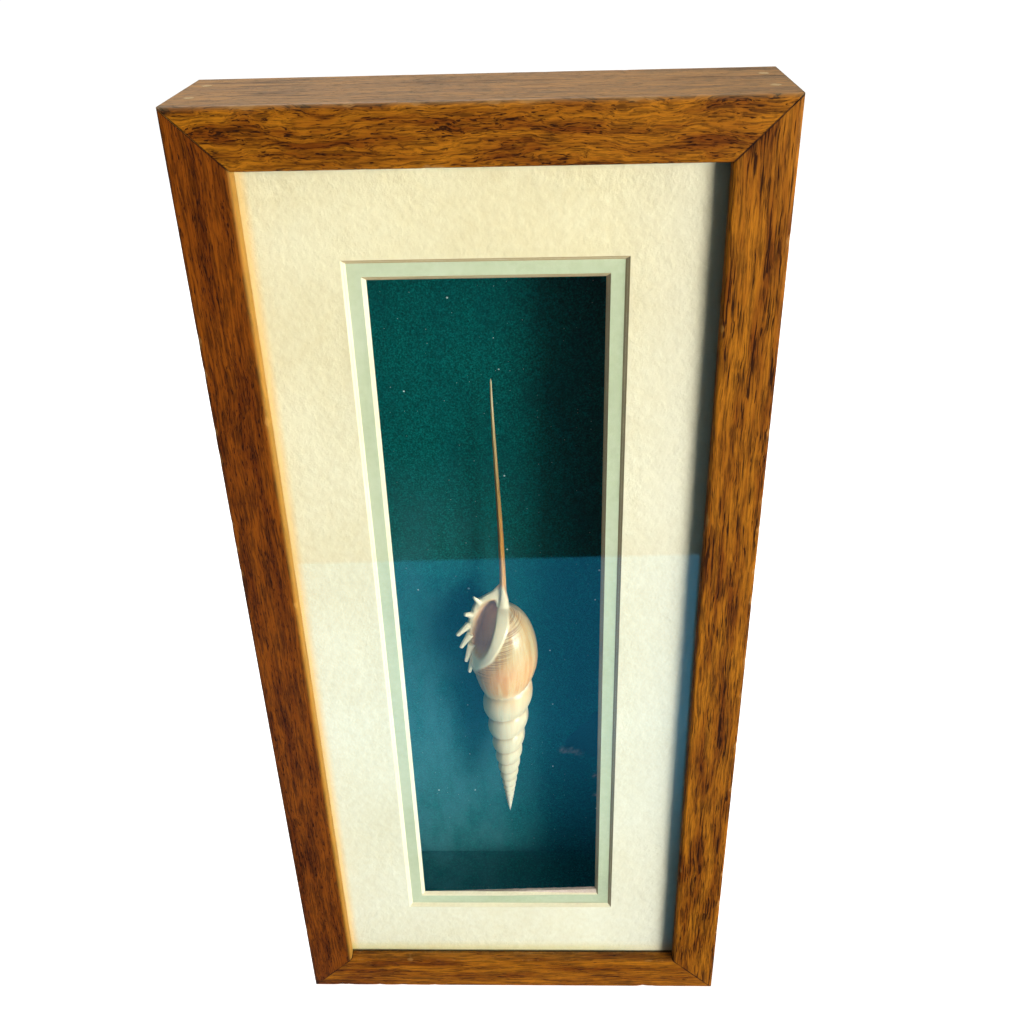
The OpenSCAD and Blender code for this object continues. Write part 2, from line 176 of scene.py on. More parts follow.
def makeWoodGrain():
    tree, given, made = newGroup("woodGrain", {
        "Light": (0.4, 0.15, 0.02, 1), "Dark": (0.16, 0.05, 0.01, 1), "Pore": (0.03, 0.01, 0.003, 1),
        "Figure Scale": 60.0, "Pore Scale": 700.0, "Pore Stretch": 0.09, "Pore Amount": 0.5,
        "Waviness": 0.5}, ["Color", "Roughness", "Height"])
    # the grain wanders sideways by a millimetre or two
    slow = noiseOf(tree, stretched(tree, given["Vector"], (26, 60, 60)), 1.0, 3)
    side = times(tree, sums(tree, "SUBTRACT", slow, 0.5), times(tree, given["Waviness"], 0.006))
    sideways = addNode(tree, "CombineXYZ", {"Y": side, "Z": side}).outputs[0]
    bent = addNode(tree, "VectorMath", {0: given["Vector"], 1: sideways}, operation="ADD").outputs[0]
    # bands of early and late wood
    scale = times(tree, given["Figure Scale"], 4.0)
    figure = noiseOf(tree, stretched(tree, bent, (0.12, 1, 1)), scale, 4, 0.6)
    colour = mixColour(tree, ramp(tree, figure, [(0.36, 0.0), (0.62, 1.0)]), given["Dark"], given["Light"])
    # fine fibres
    fibre = noiseOf(tree, stretched(tree, bent, (80, 1500, 1500)), 1.0, 4, 0.7)
    colour = mixColour(tree, 0.9, colour, ramp(tree, fibre, [(0.39, 0.28), (0.57, 1.0)]), "MULTIPLY")
    # open pores, short and dark, closer together in the early wood
    along = addNode(tree, "CombineXYZ", {"X": given["Pore Stretch"], "Y": 1.0, "Z": 1.0}).outputs[0]
    drawn = addNode(tree, "VectorMath", {0: bent, 1: along}, operation="MULTIPLY").outputs[0]
    pore = noiseOf(tree, drawn, given["Pore Scale"], 2, 0.5)
    early = ramp(tree, figure, [(0.38, 1.0), (0.62, 0.3)])
    limit = sums(tree, "SUBTRACT", 0.7, times(tree, given["Pore Amount"], times(tree, early, 0.3)))
    poreMask = spread(tree, pore, limit, sums(tree, "ADD", limit, 0.06))
    rough = sums(tree, "MULTIPLY_ADD", fibre, 0.2, 0.4)
    feed(tree, made, {
        "Color": mixColour(tree, times(tree, poreMask, 0.9), colour, given["Pore"]),
        "Roughness": sums(tree, "ADD", times(tree, poreMask, 0.2), rough),
        "Height": sums(tree, "SUBTRACT", times(tree, fibre, 0.35), poreMask)})
    return tree


def makePaperTooth():
    tree, given, made = newGroup("paperTooth", {
        "Color": (0.8, 0.8, 0.7, 1), "Shade": (0.7, 0.7, 0.6, 1), "Scale": 500.0}, ["Color", "Height"])
    tooth = noiseOf(tree, given["Vector"], given["Scale"], 5, 0.65)
    cloud = noiseOf(tree, given["Vector"], times(tree, given["Scale"], 0.05), 3)
    felt = noiseOf(tree, stretched(tree, given["Vector"], (0.8, 1, 0.7), (0, 30, 0)),
                   times(tree, given["Scale"], 0.75), 3, 0.6)
    blend = sums(tree, "ADD", times(tree, tooth, 0.5), times(tree, cloud, 0.5))
    mask = ramp(tree, blend, [(0.35, 1.0), (0.62, 0.0)])
    feed(tree, made, {
        "Color": mixColour(tree, mask, given["Color"], given["Shade"]),
        "Height": sums(tree, "ADD", times(tree, tooth, 0.4), felt)})
    return tree


def makeDustSpecks():
    tree, given, made = newGroup("dustSpecks", {"Scale": 160.0, "Size": 0.05, "Amount": 0.4}, ["Mask"])
    axes = axesOf(tree, given["Vector"])
    flat = addNode(tree, "CombineXYZ", {"X": axes["X"], "Y": axes["Z"]}).outputs[0]
    cells = addNode(tree, "TexVoronoi", {"Vector": flat, "Scale": given["Scale"]}, voronoi_dimensions="2D")
    pick = addNode(tree, "SeparateColor", {0: cells.outputs["Color"]}).outputs[0]
    size = times(tree, given["Size"], sums(tree, "MULTIPLY_ADD", pick, 3.0, 0.4))
    spot = sums(tree, "LESS_THAN", cells.outputs["Distance"], size)
    feed(tree, made, {"Mask": times(tree, spot, sums(tree, "LESS_THAN", pick, given["Amount"]))})
    return tree


def makeEdgeWear():
    tree, given, made = newGroup("edgeWear", {
        "Wear": 0.0, "Color": (0.3, 0.1, 0.02, 1), "Raw": (0.6, 0.4, 0.2, 1), "Amount": 0.5},
        ["Color", "Mask"])
    patchy = noiseOf(tree, given["Vector"], 420.0, 4, 0.7)
    broad = noiseOf(tree, given["Vector"], 55.0, 2)
    reach = times(tree, given["Wear"], sums(tree, "ADD", patchy, times(tree, broad, 0.8)))
    mask = times(tree, ramp(tree, reach, [(0.74, 0.0), (0.98, 1.0)]), given["Amount"])
    feed(tree, made, {"Color": mixColour(tree, mask, given["Color"], given["Raw"]), "Mask": mask})
    return tree


def makeMetalSkin():
    tree, given, made = newGroup("metalSkin", {
        "Color": (0.6, 0.6, 0.62, 1), "Tarnish": (0.3, 0.29, 0.26, 1), "Amount": 0.4},
        ["Color", "Roughness", "Height"])
    cloud = noiseOf(tree, given["Vector"], 260.0, 5, 0.7)
    scratch = noiseOf(tree, stretched(tree, given["Vector"], (1, 1, 0.06), (0, 33, 0)), 2600.0, 2)
    dull = times(tree, ramp(tree, cloud, [(0.42, 0.0), (0.68, 1.0)]), given["Amount"])
    rough = sums(tree, "MULTIPLY_ADD", scratch, 0.2, 0.18)
    feed(tree, made, {
        "Color": mixColour(tree, dull, given["Color"], given["Tarnish"]),
        "Roughness": sums(tree, "ADD", times(tree, dull, 0.35), rough),
        "Height": sums(tree, "ADD", scratch, times(tree, cloud, 0.4))})
    return tree


woodGrain = makeWoodGrain()
paperTooth = makePaperTooth()
dustSpecks = makeDustSpecks()
edgeWear = makeEdgeWear()
metalSkin = makeMetalSkin()
print("shared effects made")


# materials

def mitreLine(tree, place):
    # glue and dirt in the four mitres, each a plane at 45 degrees through a corner
    low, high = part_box("rail_bottom")[0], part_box("rail_top")[1]
    axes = axesOf(tree, place)
    fromSide = sums(tree, "SUBTRACT", high.x, sums(tree, "ABSOLUTE", axes["X"]))
    fromEnd = sums(tree, "SUBTRACT", (high.z - low.z) / 2, sums(
        tree, "ABSOLUTE", sums(tree, "SUBTRACT", axes["Z"], (high.z + low.z) / 2)))
    away = sums(tree, "ABSOLUTE", sums(tree, "SUBTRACT", fromSide, fromEnd))
    patchy = noiseOf(tree, place, 130.0, 3)
    line = spread(tree, away, 0.6 * mm, 0.2 * mm, 0.9)
    return times(tree, line, ramp(tree, patchy, [(0.35, 0.35), (0.55, 1.0)]))


oakGrain = {
    "Light": srgb(204, 128, 22), "Dark": srgb(140, 72, 7), "Pore": srgb(44, 17, 3), "Figure Scale": 50.0,
    "Pore Scale": 2600.0, "Pore Stretch": 0.09, "Pore Amount": 0.5, "Waviness": 0.6}
# the oak's look holds painted light: a paler tone on faces turned up and a bright orange on faces turned
# right
oakLook = {
    "shift": (0, 0, 0), "topLight": 0.85, "rightLight": 0.0, "grain": {}, "wear": 0.45, "raw": srgb(214, 156, 82),
    "dirt": (0.012, 0.005, 0.003, 1), "topLitTone": (0.54, 0.4, 0.22, 1), "streak": (0.05, 0.028, 0.014, 1),
    "rightLitTone": srgb(255, 196, 84)}
# each rail is cut from its own place in the wood
oakPlan = {
    "rail_top": {"grain": {"Pore Scale": 2000.0, "Pore Stretch": 0.13, "Waviness": 2.2}},
    "rail_bottom": {"shift": (0.3, 0.05, 0.1), "topLight": 0.08, "grain": {
        "Light": srgb(214, 134, 26), "Dark": srgb(152, 80, 10), "Pore Stretch": 0.07, "Pore Amount": 0.42}},
    "rail_left": {"shift": (0.1, 0.2, 0.4), "rightLight": 0.55, "grain": {
        "Light": srgb(164, 86, 11), "Dark": srgb(122, 56, 5), "Pore Scale": 3000.0, "Pore Stretch": 0.1}},
    "rail_right": {"shift": (0.5, 0.3, 0.7), "grain": {
        "Light": srgb(208, 130, 26), "Dark": srgb(146, 76, 9), "Pore Scale": 2000.0, "Pore Stretch": 0.032,
        "Pore Amount": 0.58}}}


def oakFinish(node):
    look = oakLook | oakPlan[node]
    material, tree, shader, place = newMaterial("oak" + node[5:].capitalize())
    turn = (0, 90, 0) if node in ("rail_left", "rail_right") else (0, 0, 0)
    vector = stretched(tree, place, (1, 1, 1), turn, look["shift"])
    grain = fillGroup(tree, woodGrain, oakGrain | look["grain"] | {"Vector": vector})
    worn = fillGroup(tree, edgeWear, {
        "Vector": place, "Wear": attributeOf(tree, "wear"), "Color": grain["Color"], "Raw": look["raw"],
        "Amount": look["wear"]})
    dirt = sums(tree, "MAXIMUM", attributeOf(tree, "stain"), mitreLine(tree, place))
    colour = mixColour(tree, dirt, worn["Color"], look["dirt"])
    # what faces up is painted paler and greyer, a painted light from above, and holds old dark streaks
    facing = facingOf(tree)
    upward = times(tree, sums(tree, "MAXIMUM", facing["Z"], 0.0), look["topLight"])
    colour = mixColour(tree, upward, colour, mixColour(tree, 0.5, colour, look["topLitTone"]))
    streak = noiseOf(tree, stretched(tree, vector, (20, 190, 190)), 1.0, 4, 0.7)
    streaks = times(tree, upward, ramp(tree, streak, [(0.54, 0.0), (0.68, 0.8)]))
    colour = mixColour(tree, streaks, colour, look["streak"])
    # painted light: faces turned right, such as the left rail's inner lip, are painted bright orange
    litFromRight = times(tree, sums(tree, "MAXIMUM", facing["X"], 0.0), look["rightLight"])
    feed(tree, shader.inputs, {
        "Base Color": mixColour(tree, litFromRight, colour, look["rightLitTone"]), "Roughness": grain["Roughness"],
        "Normal": bump(tree, grain["Height"], 0.00025, 0.8),
        "Coat Weight": 0.02, "Coat Roughness": 0.3, "Specular IOR Level": 0.12})
    return material


def pineFinish():
    material, tree, shader, place = newMaterial("pine")
    grain = fillGroup(tree, woodGrain, {
        "Vector": stretched(tree, place, (1, 1, 1), (0, 90, 0)), "Light": srgb(232, 204, 152),
        "Dark": srgb(206, 166, 108), "Pore": srgb(170, 122, 70), "Figure Scale": 40.0,
        "Pore Scale": 1500.0, "Pore Stretch": 0.1, "Pore Amount": 0.2, "Waviness": 0.4})
    feed(tree, shader.inputs, {
        "Base Color": grain["Color"], "Roughness": grain["Roughness"],
        "Normal": bump(tree, grain["Height"], 0.0001, 0.5)})
    return material


def hardboardFinish():
    material, tree, shader, place = newMaterial("hardboard")
    fibre = noiseOf(tree, place, 900.0, 6, 0.75)
    cloud = noiseOf(tree, place, 24.0, 4, 0.6)
    base = ramp(tree, fibre, [(0.3, srgb(84, 56, 34)), (0.52, srgb(118, 80, 48)), (0.74, srgb(146, 104, 66))])
    stained = mixColour(tree, ramp(tree, cloud, [(0.4, 0.0), (0.7, 0.5)]), base, srgb(92, 60, 36))
    specks = fillGroup(tree, dustSpecks, {"Vector": place, "Scale": 420.0, "Size": 0.12, "Amount": 0.5})
    colour = mixColour(tree, times(tree, specks["Mask"], 0.5), stained, srgb(176, 140, 98))
    feed(tree, shader.inputs, {
        "Base Color": colour, "Roughness": ramp(tree, cloud, [(0.3, 0.5), (0.7, 0.7)]),
        "Normal": bump(tree, fibre, 0.00015, 0.6)})
    return material


def paperFinish(name, colour, shade, scale=500.0, depth=0.0001, ageAndPaintedLight=None, paintedShadeEdges=False):
    material, tree, shader, place = newMaterial(name)
    paper = fillGroup(tree, paperTooth, {
        "Vector": place, "Color": colour, "Shade": shade, "Scale": scale})
    base = paper["Color"]
    if ageAndPaintedLight:
        axes = axesOf(tree, place)
        rise = spread(tree, axes["Z"], ageAndPaintedLight["low"], ageAndPaintedLight["high"])
        blotch = noiseOf(tree, place, 14.0, 3)
        amount = times(tree, rise, sums(tree, "ADD", blotch, 0.45), clamp=True)
        base = mixColour(tree, amount, base, mixColour(tree, 1.0, base, ageAndPaintedLight["tone"], "MULTIPLY"))
        # painted light and shade beside the rails: orange painted bounce light beside the left rail, a darker
        # olive towards the lower rail, grey painted shade over the right side with the right rail's painted
        # shadow, and a thin painted shadow line along the lower rail
        for value, start, end, tint, most in (
                (axes["X"], ageAndPaintedLight["left"] + 0.004, ageAndPaintedLight["left"], srgb(255, 206, 110), 0.6),
                (axes["Z"], ageAndPaintedLight["foot"] + 0.007, ageAndPaintedLight["foot"], srgb(206, 196, 110), 0.5),
                (axes["X"], -ageAndPaintedLight["left"] - 0.045, -ageAndPaintedLight["left"], srgb(222, 218, 206), 0.45),
                (axes["X"], -ageAndPaintedLight["left"] - 0.012, -ageAndPaintedLight["left"], srgb(170, 146, 104), 0.4),
                (axes["Z"], ageAndPaintedLight["foot"] + 0.0004, ageAndPaintedLight["foot"] - 0.0004, srgb(52, 42, 14), 0.9)):
            near = spread(tree, value, start, end, most, interpolation_type="SMOOTHSTEP")
            base = mixColour(tree, near, base, tint)
    if paintedShadeEdges:
        facing = facingOf(tree)
        # painted shade: the cut edges that face left or down are painted darker, standing in for the shade
        # they lie in
        for way, most, tint in (("X", -1.0, srgb(128, 96, 50)), ("Z", -0.9, srgb(176, 136, 76))):
            base = mixColour(tree, times(tree, facing[way], most, clamp=True), base, tint)
    feed(tree, shader.inputs, {
        "Base Color": base, "Roughness": 0.82, "Specular IOR Level": 0.3,
        "Normal": bump(tree, paper["Height"], depth, 0.8)})
    return material


def suedeFinish():
    material, tree, shader, place = newMaterial("tealSuede")
    nap = noiseOf(tree, place, 1500.0, 4, 0.7)
    brushed = noiseOf(tree, stretched(tree, place, (1, 1, 0.5)), 70.0, 4, 0.6)
    base = ramp(tree, nap, [(0.28, srgb(0, 40, 40)), (0.5, srgb(0, 77, 74)), (0.72, srgb(8, 118, 113))])
    base = mixColour(tree, ramp(tree, brushed, [(0.4, 0.0), (0.7, 0.45)]), base, srgb(0, 62, 66))
    # the torn patch is coloured dark navy
    tornPatchColour = mixColour(tree, noiseOf(tree, place, 800.0, 3), srgb(6, 26, 40), srgb(22, 50, 66))
    flap = mixColour(tree, noiseOf(tree, place, 1400.0, 2), srgb(120, 84, 84), srgb(214, 176, 168))
    base = mixColour(tree, attributeOf(tree, "torn"), base, tornPatchColour)
    base = mixColour(tree, attributeOf(tree, "lifted"), base, flap)
    small = fillGroup(tree, dustSpecks, {"Vector": place, "Scale": 200.0, "Size": 0.035, "Amount": 0.22})
    large = fillGroup(tree, dustSpecks, {"Vector": place, "Scale": 55.0, "Size": 0.022, "Amount": 0.25})
    dust = sums(tree, "MAXIMUM", times(tree, small["Mask"], 0.4), large["Mask"])
    colour = mixColour(tree, dust, base, srgb(198, 210, 206))
    # painted light: the lower left of the nap is lightened towards a pale cyan
    axes = axesOf(tree, place)
    leftward = spread(tree, axes["X"], 0.03, -0.03)
    lower = spread(tree, axes["Z"], 0.27, 0.12)
    litVeil = times(tree, times(tree, leftward, lower), ramp(tree, brushed, [(0.3, 0.1), (0.7, 0.26)]))
    colour = mixColour(tree, litVeil, colour, srgb(130, 206, 222))
    feed(tree, shader.inputs, {
        "Base Color": colour, "Roughness": 0.95, "Specular IOR Level": 0.04,
        "Sheen Weight": 0.03, "Sheen Roughness": 0.6, "Sheen Tint": srgb(30, 150, 160),
        "Normal": bump(tree, nap, 0.00018, 0.8)})
    return material


def metalFinish(name, colour, tarnish, amount):
    material, tree, shader, place = newMaterial(name)
    skin = fillGroup(tree, metalSkin, {
        "Vector": place, "Color": colour, "Tarnish": tarnish, "Amount": amount})
    feed(tree, shader.inputs, {
        "Base Color": skin["Color"], "Roughness": skin["Roughness"], "Metallic": 1.0,
        "Normal": bump(tree, skin["Height"], 0.00003, 0.5)})
    return material


def glassFinish():
    material, tree, shader, place = newMaterial("glassPane")
    smear = noiseOf(tree, stretched(tree, place, (1, 1, 0.4), (0, 25, 0)), 26.0, 4, 0.6)
    feed(tree, shader.inputs, {
        "Base Color": (0.985, 1.0, 0.995, 1), "IOR": 1.5, "Transmission Weight": 1.0,
        "Roughness": ramp(tree, smear, [(0.55, 0.0), (0.9, 0.05)])})
    clear = addNode(tree, "BsdfTransparent", {"Color": (0.93, 0.96, 0.95, 1)})
    shadow = addNode(tree, "LightPath").outputs["Is Shadow Ray"]
    both = addNode(tree, "MixShader", {0: shadow, 1: shader.outputs[0], 2: clear.outputs[0]})
    showShader(tree, both)
    return material


def shellFinish():
    material, tree, shader, place = newMaterial("shellGloss")
    along = attributeOf(tree, "along")
    turn = attributeOf(tree, "turn")
    lengthwise = addNode(tree, "CombineXYZ", {
        "X": times(tree, turn, 34.0), "Y": times(tree, along, 9.0)}).outputs[0]
    crosswise = addNode(tree, "CombineXYZ", {
        "X": times(tree, turn, 3.0),
        "Y": sums(tree, "MULTIPLY_ADD", along, 400.0, times(tree, turn, 38.0))}).outputs[0]
    growth = noiseOf(tree, lengthwise, 1.0, 5, 0.65)
    thread = noiseOf(tree, crosswise, 1.0, 3, 0.5)
    base = ramp(tree, along, [
        (0.0, srgb(242, 236, 212)), (0.12, srgb(236, 228, 194)), (0.3, srgb(240, 226, 186)),
        (0.352, srgb(248, 210, 148)), (0.4, srgb(244, 196, 132)), (0.45, srgb(222, 204, 150)),
        (0.53, srgb(230, 214, 166)), (0.57, srgb(234, 192, 130)), (0.66, srgb(196, 146, 72)),
        (0.78, srgb(158, 132, 78)), (0.9, srgb(190, 178, 132)), (1.0, srgb(222, 214, 178))])
    bodied = ramp(tree, along, [(0.335, 0.25), (0.355, 0.9)])
    streaks = times(tree, ramp(tree, growth, [(0.38, 0.0), (0.62, 1.0)]), bodied)
    streaked = mixColour(tree, streaks, base, mixColour(tree, 1.0, base, srgb(244, 204, 156), "MULTIPLY"))
    threads = times(tree, ramp(tree, thread, [(0.46, 0.0), (0.56, 0.8)]), attributeOf(tree, "threads"))
    striped = mixColour(tree, threads, streaked, srgb(164, 116, 66))
    # painted shade: the spire's sutures are painted tan in their creases; the last suture's band is white
    seam = ramp(tree, along, [(0.33, srgb(208, 178, 128)), (0.345, srgb(250, 244, 228))])
    sutured = mixColour(tree, times(tree, attributeOf(tree, "groove"), 0.8), striped, seam)
    # painted shade: the left side of the whorls, away from the light, is painted tanner
    shadedSide = ramp(tree, turn, [(0.28, 0.0), (0.44, 0.75), (0.62, 0.75), (0.8, 0.0)])
    tan = mixColour(tree, 1.0, sutured, srgb(238, 206, 152), "MULTIPLY")
    shadedWhorls = mixColour(tree, shadedSide, sutured, tan)
    washed = mixColour(tree, attributeOf(tree, "callus"), shadedWhorls, srgb(242, 226, 186))
    inside = mixColour(tree, noiseOf(tree, place, 260.0, 4), ramp(tree, along, [
        (0.42, srgb(150, 98, 66)), (0.54, srgb(240, 198, 168))]), srgb(226, 182, 148))
    colour = mixColour(tree, attributeOf(tree, "mouth"), washed, inside)
    height = sums(tree, "ADD", times(tree, growth, 0.5), times(tree, threads, 0.8))
    feed(tree, shader.inputs, {
        "Base Color": colour, "Roughness": sums(tree, "MULTIPLY_ADD", growth, 0.2, 0.2),
        "Coat Weight": 0.3, "Coat Roughness": 0.12, "Subsurface Weight": 0.05,
        "Subsurface Radius": (0.004, 0.0025, 0.0015), "Subsurface Scale": 0.6,
        "Normal": bump(tree, height, 0.00012, 0.7)})
    return material


def simpleFinish(name, low, high, scale, roughness, depth, clear=0.0):
    material, tree, shader, place = newMaterial(name)
    cloud = noiseOf(tree, place, scale, 5, 0.65)
    fine = noiseOf(tree, place, scale * 7, 3)
    feed(tree, shader.inputs, {
        "Base Color": ramp(tree, cloud, [(0.35, low), (0.66, high)]),
        "Roughness": ramp(tree, fine, [(0.3, roughness - 0.12), (0.7, roughness + 0.08)]),
        "Normal": bump(tree, fine, depth, 0.6), "Transmission Weight": clear})
    return material


materials = {
    "pine": pineFinish(),
    "hardboard": hardboardFinish(),
    "wood_filler": simpleFinish("filler", srgb(186, 150, 98), srgb(214, 184, 132), 900.0, 0.8, 0.00012),
    "nail_steel": metalFinish("nailSteel", srgb(170, 170, 172), srgb(110, 104, 96), 0.35),
    "zinc_steel": metalFinish("zincSteel", srgb(190, 192, 196), srgb(128, 126, 118), 0.5),
    "glass": glassFinish(),
    "cream_mat": paperFinish("creamMat", srgb(248, 242, 220), srgb(238, 228, 198), 420.0, 0.0005, {
        "low": 0.05, "high": 0.38, "tone": srgb(248, 241, 222), "left": -0.0756, "foot": 0.0194}),
    "mint_mat": paperFinish("mintMat", srgb(207, 214, 184), srgb(193, 202, 165), 460.0, 0.00016),
    "mat_core": paperFinish(
        "matCore", srgb(248, 238, 206), srgb(234, 220, 184), 700.0, 0.00008, paintedShadeEdges=True),
    "raw_board": paperFinish("rawBoard", srgb(240, 220, 208), srgb(206, 178, 160), 900.0, 0.0002),
    "teal_suede_board": suedeFinish(),
    "foam_board": paperFinish("foamBoard", srgb(240, 240, 236), srgb(226, 226, 220), 600.0, 0.00005),
    "shell": shellFinish(),
    "clear_glue": simpleFinish("glue", srgb(196, 190, 168), srgb(224, 220, 200), 300.0, 0.3, 0.0001, 0.3),
    "bumper_rubber": simpleFinish("rubber", srgb(20, 20, 21), srgb(44, 43, 42), 500.0, 0.7, 0.0001)}
oakFinishes = {node: oakFinish(node) for node in oakPlan}
print("materials made")


# piece helpers

def placeObject(name, data):
    made = bpy.data.objects.new(name, data)
    bpy.context.scene.collection.objects.link(made)
    return made


def addPiece(name, bm, replaced, finishes, body="case", sharpAngle=32):
    mesh = bpy.data.meshes.new(name)
    for face in bm.faces:
        face.smooth = True
    bm.to_mesh(mesh)
    bm.free()
    mesh.set_sharp_from_angle(angle=math.radians(sharpAngle))
    piece = placeObject(name, mesh)
    for finish in finishes:
        mesh.materials.append(finish)
    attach(piece, body)
    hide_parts(*replaced)
    return piece


def setFinish(node, finish):
    mesh = frame["nodes"][node].data
    mesh.materials.clear()
    mesh.materials.append(materials[finish])


def sizeOf(node):
    low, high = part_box(node)
    return low, high, high - low, (low + high) / 2


def joinPart(bm, part):
    # adds one bmesh to another and returns its vertices there
    before = set(bm.verts)
    mesh = bpy.data.meshes.new("part")
    part.to_mesh(mesh)
    part.free()
    bm.from_mesh(mesh)
    bpy.data.meshes.remove(mesh)
    return [v for v in bm.verts if v not in before]


def easeEdges(bm, edges, offset, segments, clamp=False):
    bmesh.ops.bevel(bm, geom=edges, offset=offset, offset_type="OFFSET", segments=segments, profile=0.5,
                    affect="EDGES", material=-1, clamp_overlap=clamp)


def wideRims(part):
    return [edge for face in part.faces if len(face.verts) > 4 for edge in face.edges]


def tidyNormals(bm, distance=1e-6):
    bmesh.ops.remove_doubles(bm, verts=bm.verts, dist=distance)
    bmesh.ops.recalc_face_normals(bm, faces=bm.faces)


def smoothStep(low, high, value):
    share = min(1.0, max(0.0, (value - low) / (high - low)))
    return share * share * (3 - 2 * share)


def hump(middle, width, value):
    return math.exp(-((value - middle) / width) ** 2)


# oak rails

railLook = {
    "skin": 0.06, "edge": 1.2, "sight": 1.2, "inner": 0.25, "step": 1.5, "wander": 0.05, "chipDepth": 0.3,
    "chipWidth": (0.8, 2.2), "wearReach": 2.6, "panelGap": 0.75}
# the gap and the opening of each rail's two mitres, in mm and degrees
railPlan = {
    "rail_top": {"turn": 180, "chips": 16, "gaps": (0.12, 0.2), "opens": (0.3, 0.35)},
    "rail_bottom": {"turn": 0, "chips": 10, "gaps": (0.06, 0.06), "opens": (0.1, 0.1)},
    "rail_left": {"turn": 90, "chips": 14, "gaps": (0.10, 0.05), "opens": (0.25, 0.1)},
    "rail_right": {"turn": -90, "chips": 22, "gaps": (0.06, 0.13), "opens": (0.1, 0.3)}}


def railSizes():
    low, high, size, _ = sizeOf("rail_bottom")
    return {
        "width": size.x, "height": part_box("rail_left")[1].z, "depth": size.y, "face": high.z,
        "lip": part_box("glass_pane")[0].y - low.y,
        "wall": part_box("back_panel")[0].z - railLook["panelGap"] * mm}


rail = railSizes()


def makeRail(name, plan, seed):
    draw = random.Random(seed)
    length = rail["width"] if plan["turn"] in (0, 180) else rail["height"]
    front = -rail["depth"] / 2
    back = rail["depth"] / 2
    face = rail["face"]
    skin = railLook["skin"] * mm
    # extra points beside the eased edges give the chips something to move
    outline = [(front + d * mm, skin) for d in (0, 2, 3.2, 5, 9, 20, 34, 42, 45.5, 47.2)]
    outline += [(back, skin), (back, rail["wall"]), (front + rail["lip"], rail["wall"]),
                (front + rail["lip"], face), (front, face)]
    outline += [(front, face - d * mm) for d in (1.8, 2.8, 4.2, 7)]
    outline += [(front, d * mm) for d in (9, 5, 3.2, 2)]
    bm = bmesh.new()
    end = bm.faces.new([bm.verts.new((-length / 2, y, z)) for y, z in outline])
    grown = bmesh.ops.extrude_face_region(bm, geom=[end])
    ends = [v for v in grown["geom"] if isinstance(v, bmesh.types.BMVert)]
    bmesh.ops.translate(bm, verts=ends, vec=(length, 0, 0))
    bmesh.ops.recalc_face_normals(bm, faces=bm.faces)

    def longEdges(y, z):
        return [e for e in bm.edges if all(
            abs(v.co.y - y) < 1e-6 and abs(v.co.z - z) < 1e-6 for v in e.verts)]

    eased = [(front, skin, railLook["edge"]), (back, skin, railLook["edge"]),
             (front, face, railLook["sight"]), (front + rail["lip"], face, railLook["inner"])]
    for y, z, radius in eased:
        easeEdges(bm, longEdges(y, z), radius * mm, 4, True)
    along = [e for e in bm.edges if abs((e.verts[0].co - e.verts[1].co).x) > length / 2]
    cuts = round(length / (railLook["step"] * mm))
    bmesh.ops.subdivide_edges(bm, edges=along, cuts=cuts, use_grid_fill=True)

    # mitres, opened a little towards the outer corner or the sight corner
    for side, gap, opens in zip((-1, 1), plan["gaps"], plan["opens"]):
        lean = math.radians(45 - opens)
        bmesh.ops.bisect_plane(
            bm, geom=bm.verts[:] + bm.edges[:] + bm.faces[:],
            plane_co=(side * (length / 2 - gap * mm), 0, 0),
            plane_no=(side * math.cos(lean), 0, math.sin(lean)), clear_outer=True)
        rim = [e for e in bm.edges if e.is_boundary]
        bmesh.ops.edgeloop_fill(bm, edges=rim)

    # chips and bruises along the eased edges
    chips = []
    for _ in range(plan["chips"]):
        # most are on the front outer edge
        y, z, _ = draw.choice(eased[:1] * 3 + eased[1:3])
        chips.append((draw.uniform(-length / 2, length / 2), y, z, draw.uniform(*railLook["chipWidth"]) * mm,
                      draw.uniform(0.35, 1.0) * railLook["chipDepth"] * mm))
    wear = bm.verts.layers.float.new("wear")
    stain = bm.verts.layers.float.new("stain")
    middle = Vector((0, (front + back) / 2, face / 2))
    reach = railLook["wearReach"] * mm
    for v in bm.verts:
        home = v.co.copy()
        nearest = min(math.hypot(home.y - y, home.z - z) for y, z, _ in eased)
        v[wear] = max(0.0, 1 - nearest / reach)
        shift = noise.noise(home * 90 + Vector((seed, 0, 0))) * railLook["wander"] * mm
        inward = (Vector((home.x, middle.y, middle.z)) - home).normalized()
        shift += 0.05 * mm * v[wear] * (0.5 + noise.noise(home * 260 + Vector((0, seed, 0))))
        for x, y, z, width, depth in chips:
            if abs(home.x - x) < 3 * width:
                dent = hump(0, width, home.x - x) * hump(0, 1.4 * mm, math.hypot(home.y - y, home.z - z))
                shift += depth * dent
                v[wear] = min(1.3, v[wear] + 0.9 * dent)
        if nearest < reach:
            v.co += inward * max(0.0, shift)
        if name in ("rail_top", "rail_left") and home.y < front + 3 * mm:
            # old stain at the outer end of the top rail's left mitre and of the left rail's lower one
            corner = length / 2 - abs(home.x)
            if home.x > 0 and home.z < 5 * mm:
                v[stain] = 0.9 * hump(2.2 * mm, 1.6 * mm, corner) * hump(1.5 * mm, 1.8 * mm, home.z)
    # rotation about Y puts the rail's outer face outwards
    if plan["turn"] == 0:
        place = Matrix.Identity(4)
    elif plan["turn"] == 180:
        place = Matrix.Translation((0, 0, rail["height"])) @ Matrix.Rotation(math.pi, 4, "Y")
    else:
        side = -1 if name == "rail_left" else 1
        place = (Matrix.Translation((side * rail["width"] / 2, 0, rail["height"] / 2))
                 @ Matrix.Rotation(-side * math.pi / 2, 4, "Y"))
    bmesh.ops.transform(bm, matrix=place, verts=bm.verts)
    return addPiece(name.replace("_", "-") + "-oak", bm, [name], [oakFinishes[name]])


for seed, (name, plan) in enumerate(railPlan.items()):
    makeRail(name, plan, seed + 3)
print("rails made")


# filled nail holes

